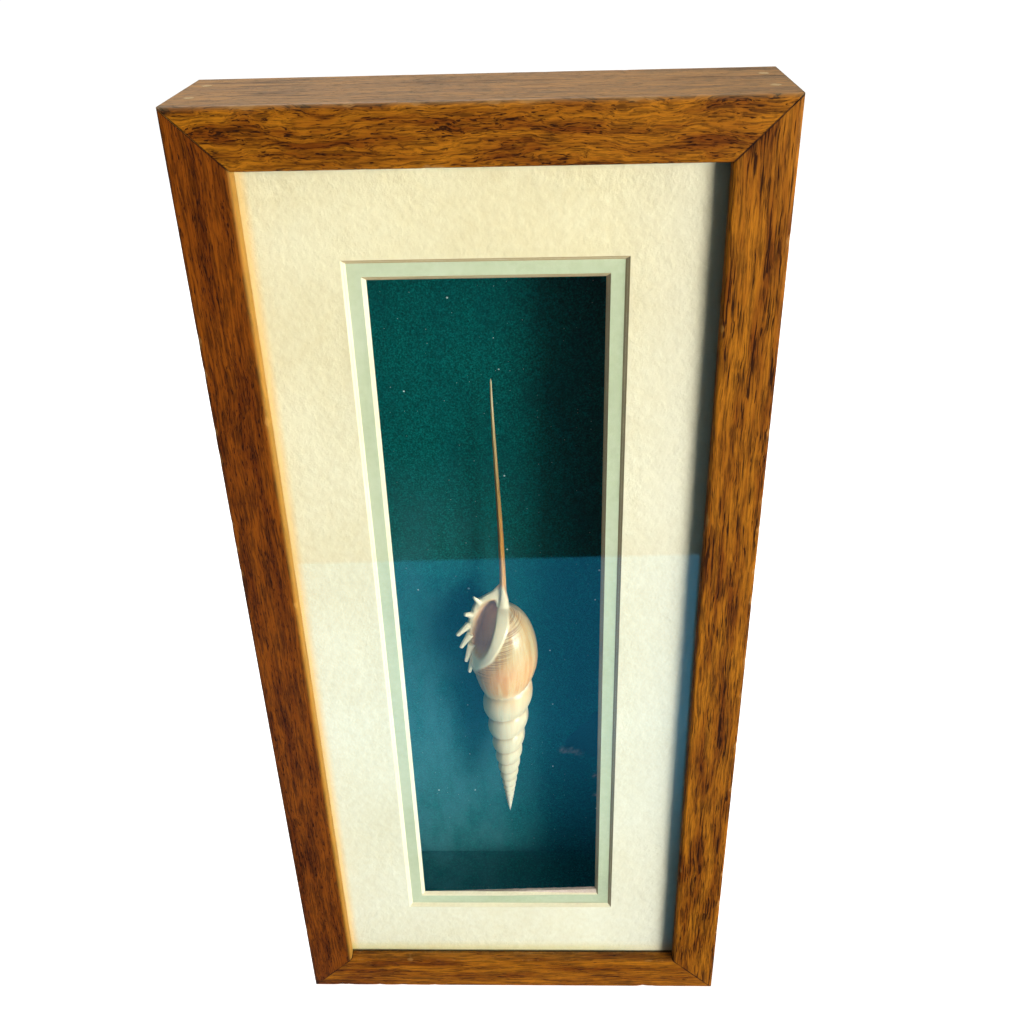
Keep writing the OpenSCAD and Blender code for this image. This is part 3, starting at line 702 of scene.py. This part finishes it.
def makePutty():
    low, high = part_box("brad_putty")
    hole = 1.5 * mm
    inset = 0.04 * mm
    bm = bmesh.new()
    places = [(x, y, level) for x in (low.x + hole, high.x - hole) for y in (low.y + hole, high.y - hole)
              for level in (low.z, high.z)]
    for index, (x, y, level) in enumerate(places):
        part = bmesh.new()
        bmesh.ops.create_circle(part, cap_ends=True, segments=28, radius=1.15 * hole)
        bmesh.ops.inset_region(part, faces=part.faces[:], thickness=0.3 * hole, depth=inset)
        bmesh.ops.translate(part, verts=part.verts, vec=(0, 0, -inset))
        for v in part.verts:
            ragged = 1 + 0.22 * noise.noise(Vector((v.co.x * 700, v.co.y * 700, index * 3.1)))
            v.co.x *= ragged
            v.co.y *= ragged
        turn = Matrix.Identity(4) if level == high.z else Matrix.Rotation(math.pi, 4, "X")
        bmesh.ops.transform(part, matrix=Matrix.Translation((x, y, level)) @ turn, verts=part.verts)
        joinPart(bm, part)
    return addPiece("filled-nail-holes", bm, ["brad_putty"], [materials["wood_filler"]])


makePutty()


# mats

matLook = {
    "outer_mat": {"slot": "cream_mat", "cuts": 24, "wave": 0.12, "bow": 0.0, "air": 0.08},
    "inner_mat": {"slot": "mint_mat", "cuts": 24, "wave": 0.08, "bow": 0.75, "air": 0.03}}


def windowOf(node):
    low, high, _, middle = sizeOf(node)
    inner = [v.co for v in frame["nodes"][node].data.vertices
             if low.x + 2 * mm < v.co.x < high.x - 2 * mm and low.z + 2 * mm < v.co.z < high.z - 2 * mm]
    front = [p for p in inner if p.y < middle.y]
    rises = [p.z for p in front]
    return {"half": max(p.x for p in front), "low": min(rises), "high": max(rises)}


def makeMat(node, look):
    low, high, size, middle = sizeOf(node)
    window = windowOf(node)
    thick = size.y
    bm = bmesh.new()
    outer = [bm.verts.new((x, low.y, z)) for x, z in (
        (low.x, low.z), (high.x, low.z), (high.x, high.z), (low.x, high.z))]
    half = window["half"]
    inner = [bm.verts.new((x, low.y, z)) for x, z in (
        (-half, window["low"]), (half, window["low"]), (half, window["high"]), (-half, window["high"]))]
    loops = [[bm.edges.new((ring[i], ring[(i + 1) % 4])) for i in range(4)] for ring in (outer, inner)]
    bmesh.ops.bridge_loops(bm, edges=loops[0] + loops[1])
    # the window's edge goes back at 45 degrees, and the outer edge straight back
    backLoops = []
    for edges, narrowing in ((loops[1], thick), (loops[0], 0.0)):
        grown = bmesh.ops.extrude_edge_only(bm, edges=edges)["geom"]
        for v in [g for g in grown if isinstance(g, bmesh.types.BMVert)]:
            v.co.y += thick
            v.co.x -= math.copysign(narrowing, v.co.x)
            v.co.z -= math.copysign(narrowing, v.co.z - middle.z)
        backLoops += [g for g in grown if isinstance(g, bmesh.types.BMEdge)
                      and all(v.co.y > low.y + thick / 2 for v in g.verts)]
    bmesh.ops.bridge_loops(bm, edges=backLoops)
    bmesh.ops.recalc_face_normals(bm, faces=bm.faces)
    for face in bm.faces:
        tilted = 0.3 < abs(face.normal.y) < 0.95
        face.material_index = 1 if tilted else 0
    bmesh.ops.subdivide_edges(bm, edges=bm.edges[:], cuts=look["cuts"], use_grid_fill=True)
    for v in bm.verts:
        home = v.co.copy()
        near = min(abs(abs(home.x) - half), abs(home.z - window["low"]), abs(home.z - window["high"]))
        ripple = noise.noise(Vector((home.x * 28, 0, home.z * 28))) * look["wave"] * mm
        v.co.y += max(0.0, ripple) * (1 if near < 25 * mm else 0.4)
        if home.y < low.y + thick / 2:
            v.co.y += look["air"] * mm
        # the bottom of the window bows back towards its right end
        if look["bow"] and home.z < window["low"] + 3 * mm and abs(home.x) < half + 3 * mm:
            lift = smoothStep(-0.2 * half, 0.75 * half, home.x) * smoothStep(
                window["low"] - 8 * mm, window["low"], home.z)
            v.co.y += look["bow"] * mm * lift
    return addPiece(node.replace("_", "-") + "-board", bm, [node],
                    [materials[look["slot"]], materials["mat_core"]], sharpAngle=20)


for node, look in matLook.items():
    makeMat(node, look)


# offcut behind the bottom edge of the inner mat, higher at its right end

stripLook = {"height": 5.0, "rise": 3.8, "ragged": 0.22, "wave": 0.1}


def makeEdgeStrip():
    size, middle = sizeOf("mat_edge_strip")[2:]
    bm = bmesh.new()
    bmesh.ops.create_cube(bm, size=1.0)
    bmesh.ops.scale(bm, vec=(size.x, size.y, stripLook["height"] * mm), verts=bm.verts)
    lengthwise = [e for e in bm.edges if abs((e.verts[0].co - e.verts[1].co).x) > size.x / 2]
    bmesh.ops.subdivide_edges(bm, edges=lengthwise, cuts=90, use_grid_fill=True)
    for v in bm.verts:
        share = v.co.x / size.x
        if v.co.z > 0:
            v.co.z += stripLook["ragged"] * mm * noise.noise(Vector((v.co.x * 420, v.co.y * 300, 1.7)))
        v.co.z += share * stripLook["rise"] * mm
        v.co.y += stripLook["wave"] * mm * abs(noise.noise(Vector((v.co.x * 120, 0, v.co.z * 120))))
    bmesh.ops.translate(bm, verts=bm.verts, vec=middle)
    return addPiece("mat-offcut", bm, ["mat_edge_strip"], [materials["raw_board"]])


makeEdgeStrip()
print("mats made")


# backing board with a torn face

# in mm: the tear's two straighter sides, each from one (x, z) to another, its left edge, and the nicks by it
tear = {"upper": ((25.5, 120.5), (37.0, 135.0)), "lower": ((42.0, 110.0), (27.0, 115.5)), "left": 25.5,
        "depth": 0.55, "lip": 0.35, "nicks": ((39.8, 99.6), (40.5, 87.5))}


def pastLine(line, x, z):
    (startX, startZ), (endX, endZ) = line
    reach = math.hypot(endX - startX, endZ - startZ)
    return ((z - startZ) * (endX - startX) - (x - startX) * (endZ - startZ)) / reach


def tearShape(x, z):
    wobble = 1.5 * noise.noise(Vector((x * 0.26, 3.3, z * 0.26))) + 0.7 * noise.noise(
        Vector((x * 0.9, 1.1, z * 0.9)))
    return max(pastLine(tear["upper"], x, z), pastLine(tear["lower"], x, z), tear["left"] - x) + wobble


def makeBacking():
    low, _, size, middle = sizeOf("display_board")
    bm = bmesh.new()
    bmesh.ops.create_grid(bm, x_segments=120, y_segments=280, size=0.5)
    bmesh.ops.scale(bm, vec=(size.x, size.z, 1), verts=bm.verts)
    bmesh.ops.rotate(bm, matrix=Matrix.Rotation(math.pi / 2, 3, "X"), verts=bm.verts)
    bmesh.ops.translate(bm, verts=bm.verts, vec=(middle.x, low.y, middle.z))
    torn = bm.verts.layers.float.new("torn")
    lifted = bm.verts.layers.float.new("lifted")
    fronts = bm.verts[:]
    rim = [e for e in bm.edges if e.is_boundary]
    grown = bmesh.ops.extrude_edge_only(bm, edges=rim)["geom"]
    backVerts = [g for g in grown if isinstance(g, bmesh.types.BMVert)]
    bmesh.ops.translate(bm, verts=backVerts, vec=(0, size.y, 0))
    bmesh.ops.edgeloop_fill(bm, edges=[e for e in bm.edges if e.is_boundary])
    for v in fronts:
        home = v.co.copy()
        shape = tearShape(home.x / mm, home.z / mm)
        inside = 1 - smoothStep(-0.7, 0.2, shape)
        v[torn] = inside
        v.co.y += inside * tear["depth"] * mm
        # the paper stands up a little along the lower edge of the tear
        below = smoothStep(118 * mm, 115 * mm, home.z) * smoothStep(35 * mm, 31 * mm, home.x)
        v.co.y -= hump(0.8, 1.1, shape) * below * tear["lip"] * mm
        v[lifted] = min(1.0, 1.3 * hump(0.4, 0.7, shape) * below)
        for nickX, nickZ in tear["nicks"]:
            near = math.hypot(home.x - nickX * mm, home.z - nickZ * mm)
            v[lifted] = min(1.0, v[lifted] + hump(0, 0.9 * mm, near))
    bmesh.ops.recalc_face_normals(bm, faces=bm.faces)
    return addPiece("backing-board", bm, ["display_board"],
                    [materials["teal_suede_board"]], sharpAngle=50)


makeBacking()
print("backing made")


# spindle shell

# sizes in mm; s is the height above the spire's tip, along the shell
shellLook = {
    "rings": 250, "columns": 144, "x": 1.0, "lean": 2.8, "glue": 0.4, "axisOff": 13.6, "axisAt": 85,
    "belly": 85.7, "bellyRadius": 13.5, "cone": 0.134, "bulge": 0.0285, "lastSuture": 73.2, "whorl": 0.811,
    "shoulder": 109.4, "spineFrom": 118, "spineBend": 2.0, "callus": 0.6}
mouthLook = {"x": -6.2, "s": 101.0, "halfWidth": 5.0, "halfLength": 12.1, "tilt": 17.0, "depth": 6.5}
# each finger: where it leaves the lip, where it ends, and how thick it is, as (x, s)
fingerPlan = [
    ((-8.2, 112.6), (-10.7, 116.2), 0.72), ((-11.6, 106.8), (-14.6, 108.0), 0.85),
    ((-13.0, 102.4), (-18.2, 98.0), 0.9), ((-12.8, 97.6), (-16.8, 91.8), 0.9),
    ((-12.4, 92.8), (-15.0, 84.9), 0.95), ((-11.4, 87.6), (-13.7, 79.8), 0.9)]
# how far right the callus reaches, as (s, x)
callusPlan = [(78.0, -11.5), (82.5, -10.0), (85.0, -8.4), (87.5, -6.0), (90.0, -3.8), (94.5, -1.1),
              (100.0, 1.6), (105.0, 3.4), (112.0, 3.0), (118.0, 1.6)]


def between(rows, value):
    for (lowAt, low), (highAt, high) in zip(rows, rows[1:]):
        if lowAt <= value <= highAt:
            return low + (high - low) * (value - lowAt) / (highAt - lowAt)
    return None


def sutureAt(turn, passed=0.0):
    return shellLook["lastSuture"] * shellLook["whorl"] ** (passed + turn)


def outlineRadius(s, turn):
    look = shellLook
    body = 0.0 if turn <= 0.5 else -1.0
    passed = math.log(look["lastSuture"] / max(s, 0.05)) / math.log(1 / look["whorl"]) - turn
    if passed >= body:
        share = passed - math.floor(passed)
        swell = math.sin(math.pi * share ** 1.15) ** 0.8
        cone = look["cone"] * s + 0.35 * (1 - math.exp(-s / 4))
        return cone + look["bulge"] * s * swell, share
    bottom = sutureAt(turn, body)
    start = look["cone"] * bottom
    reach = (look["belly"] - bottom) / math.sqrt(1 - min(0.98, start / look["bellyRadius"]) ** 2)
    if s >= look["belly"]:
        reach = look["shoulder"] - look["belly"]
    return look["bellyRadius"] * math.sqrt(max(0.0, 1 - ((look["belly"] - s) / reach) ** 2)), 0.5


def spineRadius(s, length):
    share = min(1.0, max(0.0, (s - 106) / (length - 106)))
    return 0.28 + 1.15 * (1 - share) ** 0.75 + 1.5 * max(0.0, 1 - share * 9) ** 2


def lipReach(s):
    rows = ((78.0, 12.4), (82.0, 13.2), (88.0, 13.6), (91.0, 14.4), (96.0, 14.9), (100.0, 15.1),
            (104.0, 14.1), (108.0, 12.8), (111.0, 11.2), (113.5, 7.4), (116.0, 3.6), (119.0, 2.0))
    return between(rows, s) or 0.0


def mouthShare(x, s):
    lean = math.radians(mouthLook["tilt"])
    dx, ds = x - mouthLook["x"], s - mouthLook["s"]
    across = dx * math.cos(lean) - ds * math.sin(lean)
    along = dx * math.sin(lean) + ds * math.cos(lean)
    # fuller on the left, straighter along the columella
    width = mouthLook["halfWidth"] * (1.0 if across < 0 else 0.62)
    return ((abs(across) / width) ** 2.2 + (abs(along) / mouthLook["halfLength"]) ** 2.2) ** (1 / 2.2)


def makeShell():
    size, middle = sizeOf("shell")[2:]
    look = shellLook
    lean = math.radians(look["lean"])
    length = size.z / math.cos(lean) / mm
    rings, spineFrom = look["rings"], look["spineFrom"]
    bm = bmesh.new()
    # rings lie close together on the whorls and further apart up the spine
    split = round(rings * 0.78)
    heights = [spineFrom * ((i + 0.4) / split) ** 1.05 for i in range(split)]
    heights += [spineFrom + (length - spineFrom) * (i + 1) / (rings - split) for i in range(rings - split)]
    heights = [s for s in heights if s < length - 0.05] + [length]
    profile = [bm.verts.new((1.0, 0, s)) for s in heights]
    edges = [bm.edges.new(pair) for pair in zip(profile, profile[1:])]
    bmesh.ops.spin(bm, geom=profile + edges, cent=(0, 0, 0), axis=(0, 0, 1), dvec=(0, 0, 0),
                   angle=math.tau, steps=look["columns"], use_merge=True, use_duplicate=False)
    layers = {key: bm.verts.layers.float.new(key) for key in (
        "along", "groove", "mouth", "callus", "turn", "threads")}
    for v in bm.verts:
        s = v.co.z
        # the turn goes from the right over the front to the left
        angle = math.atan2(-v.co.y, v.co.x) % math.tau
        turn = angle / math.tau
        radius, share = outlineRadius(s, turn)
        if s > 100:
            radius = max(radius, spineRadius(s, length))
        elif radius <= 0:
            radius = 0.2
        reach = lipReach(s)
        if reach:
            # the body whorl's wall swells out to the lip at the left
            away = (angle - math.radians(183)) / math.radians(1)
            weight = math.exp(-(away / 62) ** 2) if away > 0 else math.exp(-(away / 16) ** 2)
            radius = max(radius, radius + (reach - radius) * weight)
        x = radius * math.cos(angle) + look["x"]
        near = mouthShare(x, s)
        front = 1.0 if math.sin(angle) > 0.02 else 0.0
        v[layers["mouth"]] = (1 - smoothStep(0.8, 0.97, near)) * front
        # the callus is a smooth raised band round the mouth, wide on the side of the columella
        band = 0.0
        threads = 0.0
        if math.sin(angle) > -0.2 and 78 < s < spineFrom:
            fromEdge = x - between(callusPlan, s)
            left = x < mouthLook["x"] + (s - mouthLook["s"]) * 0.34
            outer = 1 - smoothStep(1.3, 1.55, near) if left else smoothStep(0.5, -0.9, fromEdge)
            band = smoothStep(0.93, 1.06, near) * outer
            threads = smoothStep(-0.5, 0.6, fromEdge) * smoothStep(7.5, 2.0, fromEdge)
        v[layers["callus"]] = band
        v[layers["threads"]] = threads
        radius += look["callus"] * band
        groove = 0.0
        if share < 0.5:
            groove = hump(0.0, 0.07, share)
        elif share > 0.5:
            groove = hump(1.0, 0.045, share)
        if s < 90:
            radius -= 0.006 * s * groove
        v[layers["groove"]] = 0.0 if s > 90 else groove
        v[layers["along"]] = s / length
        v[layers["turn"]] = turn
        # fine ribs along the spire, and threads round the body whorl near the mouth
        radius += 0.035 * noise.noise(Vector((turn * 60, s * 0.25, 0))) * smoothStep(0, 20, s)
        if 86 < s < 104:
            radius += 0.06 * threads * math.sin(3.5 * (s + 19.8 * turn)) * hump(95, 7, s)
        radius = max(radius, 0.12)
        depth = mouthLook["depth"] * (1 - smoothStep(0.62, 1.0, near)) * front
        v.co.x = radius * math.cos(angle) - look["spineBend"] * smoothStep(112, length, s) ** 1.3
        v.co.y = -radius * math.sin(angle)
        v.co.y += depth
        v.co.x += 0.28 * depth
        if s > 110:
            # an open groove runs up the left of the spine
            slot = hump(math.radians(150), math.radians(26), angle) * smoothStep(110, spineFrom, s)
            v.co.x += 0.55 * radius * slot
            v.co.y += 0.25 * radius * slot
    for level, lift in ((0, -0.3), (-1, 0.0)):
        ring = [v for v in bm.verts if abs(v.co.z - heights[level]) < 1e-4]
        centre = sum((v.co for v in ring), Vector()) / len(ring)
        bmesh.ops.pointmerge(bm, verts=ring, merge_co=centre + Vector((0, 0, lift)))
    for (rootX, rootS), (tipX, tipS), thick in fingerPlan:
        addFinger(bm, layers, Vector((rootX - look["x"], -3.2, rootS)),
                  Vector((tipX - look["x"], -4.6, tipS)), thick, length)
    tidyNormals(bm, 1e-5)
    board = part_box("display_board")[0]
    place = (Matrix.Translation((look["x"] * mm, board.y - (look["glue"] + look["axisOff"]) * mm, middle.z))
             @ Matrix.Rotation(-lean, 4, "X")
             @ Matrix.Translation((0, (length / 2 - look["axisAt"]) * mm * math.tan(lean), -length / 2 * mm))
             @ Matrix.Scale(mm, 4))
    bmesh.ops.transform(bm, matrix=place, verts=bm.verts)
    return addPiece("spindle-shell", bm, ["shell"], [materials["shell"]], sharpAngle=70)


def addFinger(bm, layers, root, tip, thick, length):
    reach = (tip - root).length
    part = bmesh.new()
    bmesh.ops.create_cone(part, cap_ends=True, cap_tris=False, segments=16, radius1=thick * 1.75,
                          radius2=thick * 0.8, depth=reach)
    easeEdges(part, wideRims(part), thick * 0.5, 5)
    direction = (tip - root).normalized()
    side = direction.cross(Vector((0, 1, 0))).normalized()
    turn = Matrix((side, direction.cross(side), direction)).transposed().to_4x4()
    bmesh.ops.transform(part, matrix=Matrix.Translation((root + tip) / 2) @ turn, verts=part.verts)
    for v in joinPart(bm, part):
        share = (v.co - root).dot(direction) / reach
        v.co += Vector((0, 1, 0)) * 0.8 * share * (1 - share)
        v.co += Vector((noise.noise(v.co * 0.9), 0, noise.noise(v.co * 1.1))) * 0.35
        v[layers["along"]] = v.co.z / length
        v[layers["callus"]] = 1.0
        v[layers["mouth"]] = 0.0


makeShell()


# set glue behind the shell

def makeGlue():
    for node, squeeze in (("glue_pad_belly", 1.25), ("glue_pad_spire", 1.1)):
        size, middle = sizeOf(node)[2:]
        bm = bmesh.new()
        bmesh.ops.create_uvsphere(bm, u_segments=28, v_segments=16, radius=1.0)
        for v in bm.verts:
            ragged = 1 + 0.12 * noise.noise(v.co * 2.2)
            # the blob is flat against the board and necks in towards the shell
            share = (v.co.y + 1) / 2
            neck = 0.72 + 0.5 * share ** 2
            v.co = Vector((v.co.x * size.x / 2 * ragged * neck * squeeze,
                           min(0.5, v.co.y * 0.62) * size.y,
                           v.co.z * size.z / 2 * ragged * neck * squeeze))
        bmesh.ops.translate(bm, verts=bm.verts, vec=middle)
        tidyNormals(bm)
        addPiece(node.replace("_", "-") + "-blob", bm, [node], [materials["clear_glue"]])


makeGlue()
print("shell made")


# boards behind the mats that keep their own shape

for side in ("top", "bottom", "left", "right"):
    setFinish("spacer_" + side, "pine")
    setFinish("well_core_" + side, "foam_board")
    setFinish("well_lining_" + side, "teal_suede_board")
setFinish("filler_board", "foam_board")
setFinish("glass_pane", "glass")
setFinish("corner_brads", "nail_steel")


# hardware on the back, softened copies of the pieces' own solids

softened = {"back_panel": {"slot": "hardboard", "ease": 0.5, "body": "case"}}
for node, reach in (("hanger_strap_left", 0.14), ("hanger_strap_right", 0.14), ("hanger_screws", 0.1),
                    ("turn_button_screws", 0.1)):
    softened[node] = {"slot": "zinc_steel", "ease": reach, "body": "case"}
for place in ("top", "bottom", "left_upper", "left_lower", "right_upper", "right_lower"):
    softened["turn_button_" + place] = {"slot": "zinc_steel", "ease": 0.22, "body": "button_" + place}


def makeSoftened(node, look):
    bm = bmesh.new()
    bm.from_mesh(frame["nodes"][node].data)
    bmesh.ops.remove_doubles(bm, verts=bm.verts, dist=2e-6)
    bmesh.ops.dissolve_limit(bm, angle_limit=math.radians(1.5), use_dissolve_boundaries=False,
                             verts=bm.verts, edges=bm.edges)
    sharp = [e for e in bm.edges if len(e.link_faces) == 2 and e.calc_face_angle(0) > math.radians(35)]
    easeEdges(bm, sharp, look["ease"] * mm, 2, True)
    bmesh.ops.recalc_face_normals(bm, faces=bm.faces)
    return addPiece(node.replace("_", "-") + "-eased", bm, [node],
                    [materials[look["slot"]]], look["body"])


for node, look in softened.items():
    makeSoftened(node, look)


# hanging rings of bent wire

ringLook = {"wire": 0.9, "length": 9.5, "rest": 6.5, "half": 5.1, "corner": 1.2}


def arc(x, z, radius, angles):
    return [Vector((x + radius * math.cos(angle), 0, z + radius * math.sin(angle))) for angle in angles]


def makeRing(side):
    joint = [j for j in frame["joints"] if j["name"] == "swing_" + side][0]
    centre = Vector(joint["pos_m"])
    half = ringLook["half"] * mm
    corner = ringLook["corner"] * mm
    leg = ringLook["length"] * mm - half
    # the bar turns down into each leg through a small bend, and a half round joins the legs
    points = [Vector((0, 0, 0))]
    points += arc(half - corner, -corner, corner, [math.radians(90 - 15 * step) for step in range(7)])
    points += arc(0, -leg, half, [-math.pi * step / 24 for step in range(1, 24)])
    points += arc(corner - half, -corner, corner, [math.radians(180 - 15 * step) for step in range(7)])
    data = bpy.data.curves.new("hanger-ring-" + side + "-wire", "CURVE")
    data.dimensions = "3D"
    data.bevel_depth = ringLook["wire"] * mm
    data.bevel_resolution = 5
    spline = data.splines.new("POLY")
    spline.points.add(len(points) - 1)
    lean = Matrix.Rotation(math.radians(ringLook["rest"]), 4, "X")
    for point, place in zip(spline.points, points):
        point.co = (*(centre + lean @ place), 1)
    spline.use_cyclic_u = True
    data.materials.append(materials["zinc_steel"])
    ring = placeObject("hanger-ring-" + side + "-wire", data)
    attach(ring, "ring_" + side)
    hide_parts("hanger_ring_" + side)
    return ring


for side in ("left", "right"):
    makeRing(side)


# rubber bumpers with a domed face

def makeBumpers():
    low, high, size, middle = sizeOf("wall_bumpers")
    radius = size.z / 2
    bm = bmesh.new()
    for x in (low.x + radius, high.x - radius):
        part = bmesh.new()
        bmesh.ops.create_cone(part, cap_ends=True, cap_tris=False, segments=48, radius1=radius,
                              radius2=radius * 0.93, depth=size.y)
        outer = [edge for edge in wideRims(part) if edge.verts[0].co.z > 0]
        easeEdges(part, outer, 0.7 * mm, 5)
        bmesh.ops.transform(part, verts=part.verts, matrix=(
            Matrix.Translation((x, middle.y, middle.z)) @ Matrix.Rotation(-math.pi / 2, 4, "X")))
        joinPart(bm, part)
    return addPiece("wall-bumper-pads", bm, ["wall_bumpers"],
                    [materials["bumper_rubber"]])


makeBumpers()
print("hardware made")


# floor and studio light

studio = {
    "floor": 6.0, "drop": 0.0002, "glow": 0.96, "glowReach": -0.389, "glowSlope": 0.027,
    "mirroredGlow": (0.05, 0.62, 1.1, 1), "beyond": (0.02, 0.03, 0.03, 1), "behind": (0.55, 0.55, 0.53, 1),
    "sky": 0.085, "skyTint": (1.0, 0.95, 0.86, 1)}
lights = {
    "key": {"place": (1.96, -1.96, 0.58), "aim": (0, 0, 0.2), "size": 1.05, "power": 59.0,
            "colour": (1.0, 0.96, 0.9)},
    "top": {"place": (-0.2, 0.75, 1.5), "aim": (0, 0, 0.4), "size": 0.8, "power": 17.0,
            "colour": (1.0, 0.97, 0.93)}}
camera = {"place": (0.01986, -0.35843, 0.46295), "turn": (59.297, 1.464, 1.407), "lens": 38.416}


def makeFloor():
    bm = bmesh.new()
    bmesh.ops.create_grid(bm, x_segments=1, y_segments=1, size=studio["floor"])
    mesh = bpy.data.meshes.new("floor")
    bm.to_mesh(mesh)
    bm.free()
    floor = placeObject("floor", mesh)
    floor.location.z = -studio["drop"]
    material, tree, shader, place = newMaterial("paleFloor")
    feed(tree, shader.inputs, {"Base Color": (0.9, 0.9, 0.9, 1), "Roughness": 0.9})
    path = addNode(tree, "LightPath").outputs
    # a blue glow on the floor before the frame, seen only in reflections and dimmer close to the frame, is a
    # painted reflection that the glass mirrors
    axes = axesOf(tree, place)
    reach = sums(tree, "MULTIPLY_ADD", axes["X"], studio["glowSlope"], axes["Y"])
    near = sums(tree, "GREATER_THAN", reach, studio["glowReach"])
    shade = ramp(tree, spread(tree, axes["Y"], -0.2, -0.09), [(0.0, 1.0), (1.0, 0.1)])
    mirroredGlow = mixColour(tree, 1.0, studio["mirroredGlow"], shade, "MULTIPLY")
    mirrored = mixColour(tree, near, studio["beyond"], mirroredGlow)
    behind = sums(tree, "GREATER_THAN", axes["Y"], -0.03)
    glossy = addNode(tree, "Emission", {"Color": mixColour(tree, behind, mirrored, studio["behind"])})
    pale = addNode(tree, "Emission", {"Strength": studio["glow"]})
    lit = addNode(tree, "AddShader", {0: shader.outputs[0], 1: pale.outputs[0]})
    seen = addNode(tree, "MixShader", {0: path["Is Camera Ray"], 1: shader.outputs[0], 2: lit.outputs[0]})
    showShader(tree, addNode(tree, "MixShader", {
        0: path["Is Glossy Ray"], 1: seen.outputs[0], 2: glossy.outputs[0]}))
    mesh.materials.append(material)


def makeWorld():
    world = bpy.data.worlds.new("studio")
    bpy.context.scene.world = world
    world.use_nodes = True
    tree = world.node_tree
    tree.nodes.clear()
    path = addNode(tree, "LightPath").outputs
    soft = addNode(tree, "Background", {"Color": studio["skyTint"], "Strength": studio["sky"]})
    white = addNode(tree, "Background", {"Color": (1, 1, 1, 1)})
    dim = addNode(tree, "Background", {"Color": (0.5, 0.5, 0.48, 1), "Strength": 0.3})
    shown = addNode(tree, "MixShader", {0: path["Is Camera Ray"], 1: soft.outputs[0], 2: white.outputs[0]})
    both = addNode(tree, "MixShader", {0: path["Is Glossy Ray"], 1: shown.outputs[0], 2: dim.outputs[0]})
    addNode(tree, "OutputWorld", {"Surface": both.outputs[0]})


def makeLight(name, look):
    data = bpy.data.lights.new(name, "AREA")
    data.shape = "DISK"
    data.size = look["size"]
    data.energy = look["power"]
    data.color = look["colour"]
    light = placeObject(name, data)
    light.location = look["place"]
    light.rotation_euler = (Vector(look["aim"]) - light.location).to_track_quat("-Z", "Y").to_euler()


def makeCamera():
    data = bpy.data.cameras.new("camera")
    data.lens = camera["lens"]
    data.clip_start = 0.01
    made = placeObject("camera", data)
    made.location = camera["place"]
    made.rotation_euler = [math.radians(angle) for angle in camera["turn"]]
    bpy.context.scene.camera = made


makeFloor()
makeWorld()
for name, look in lights.items():
    makeLight(name, look)
makeCamera()
bpy.context.scene.view_settings.view_transform = "Standard"
print("studio made")
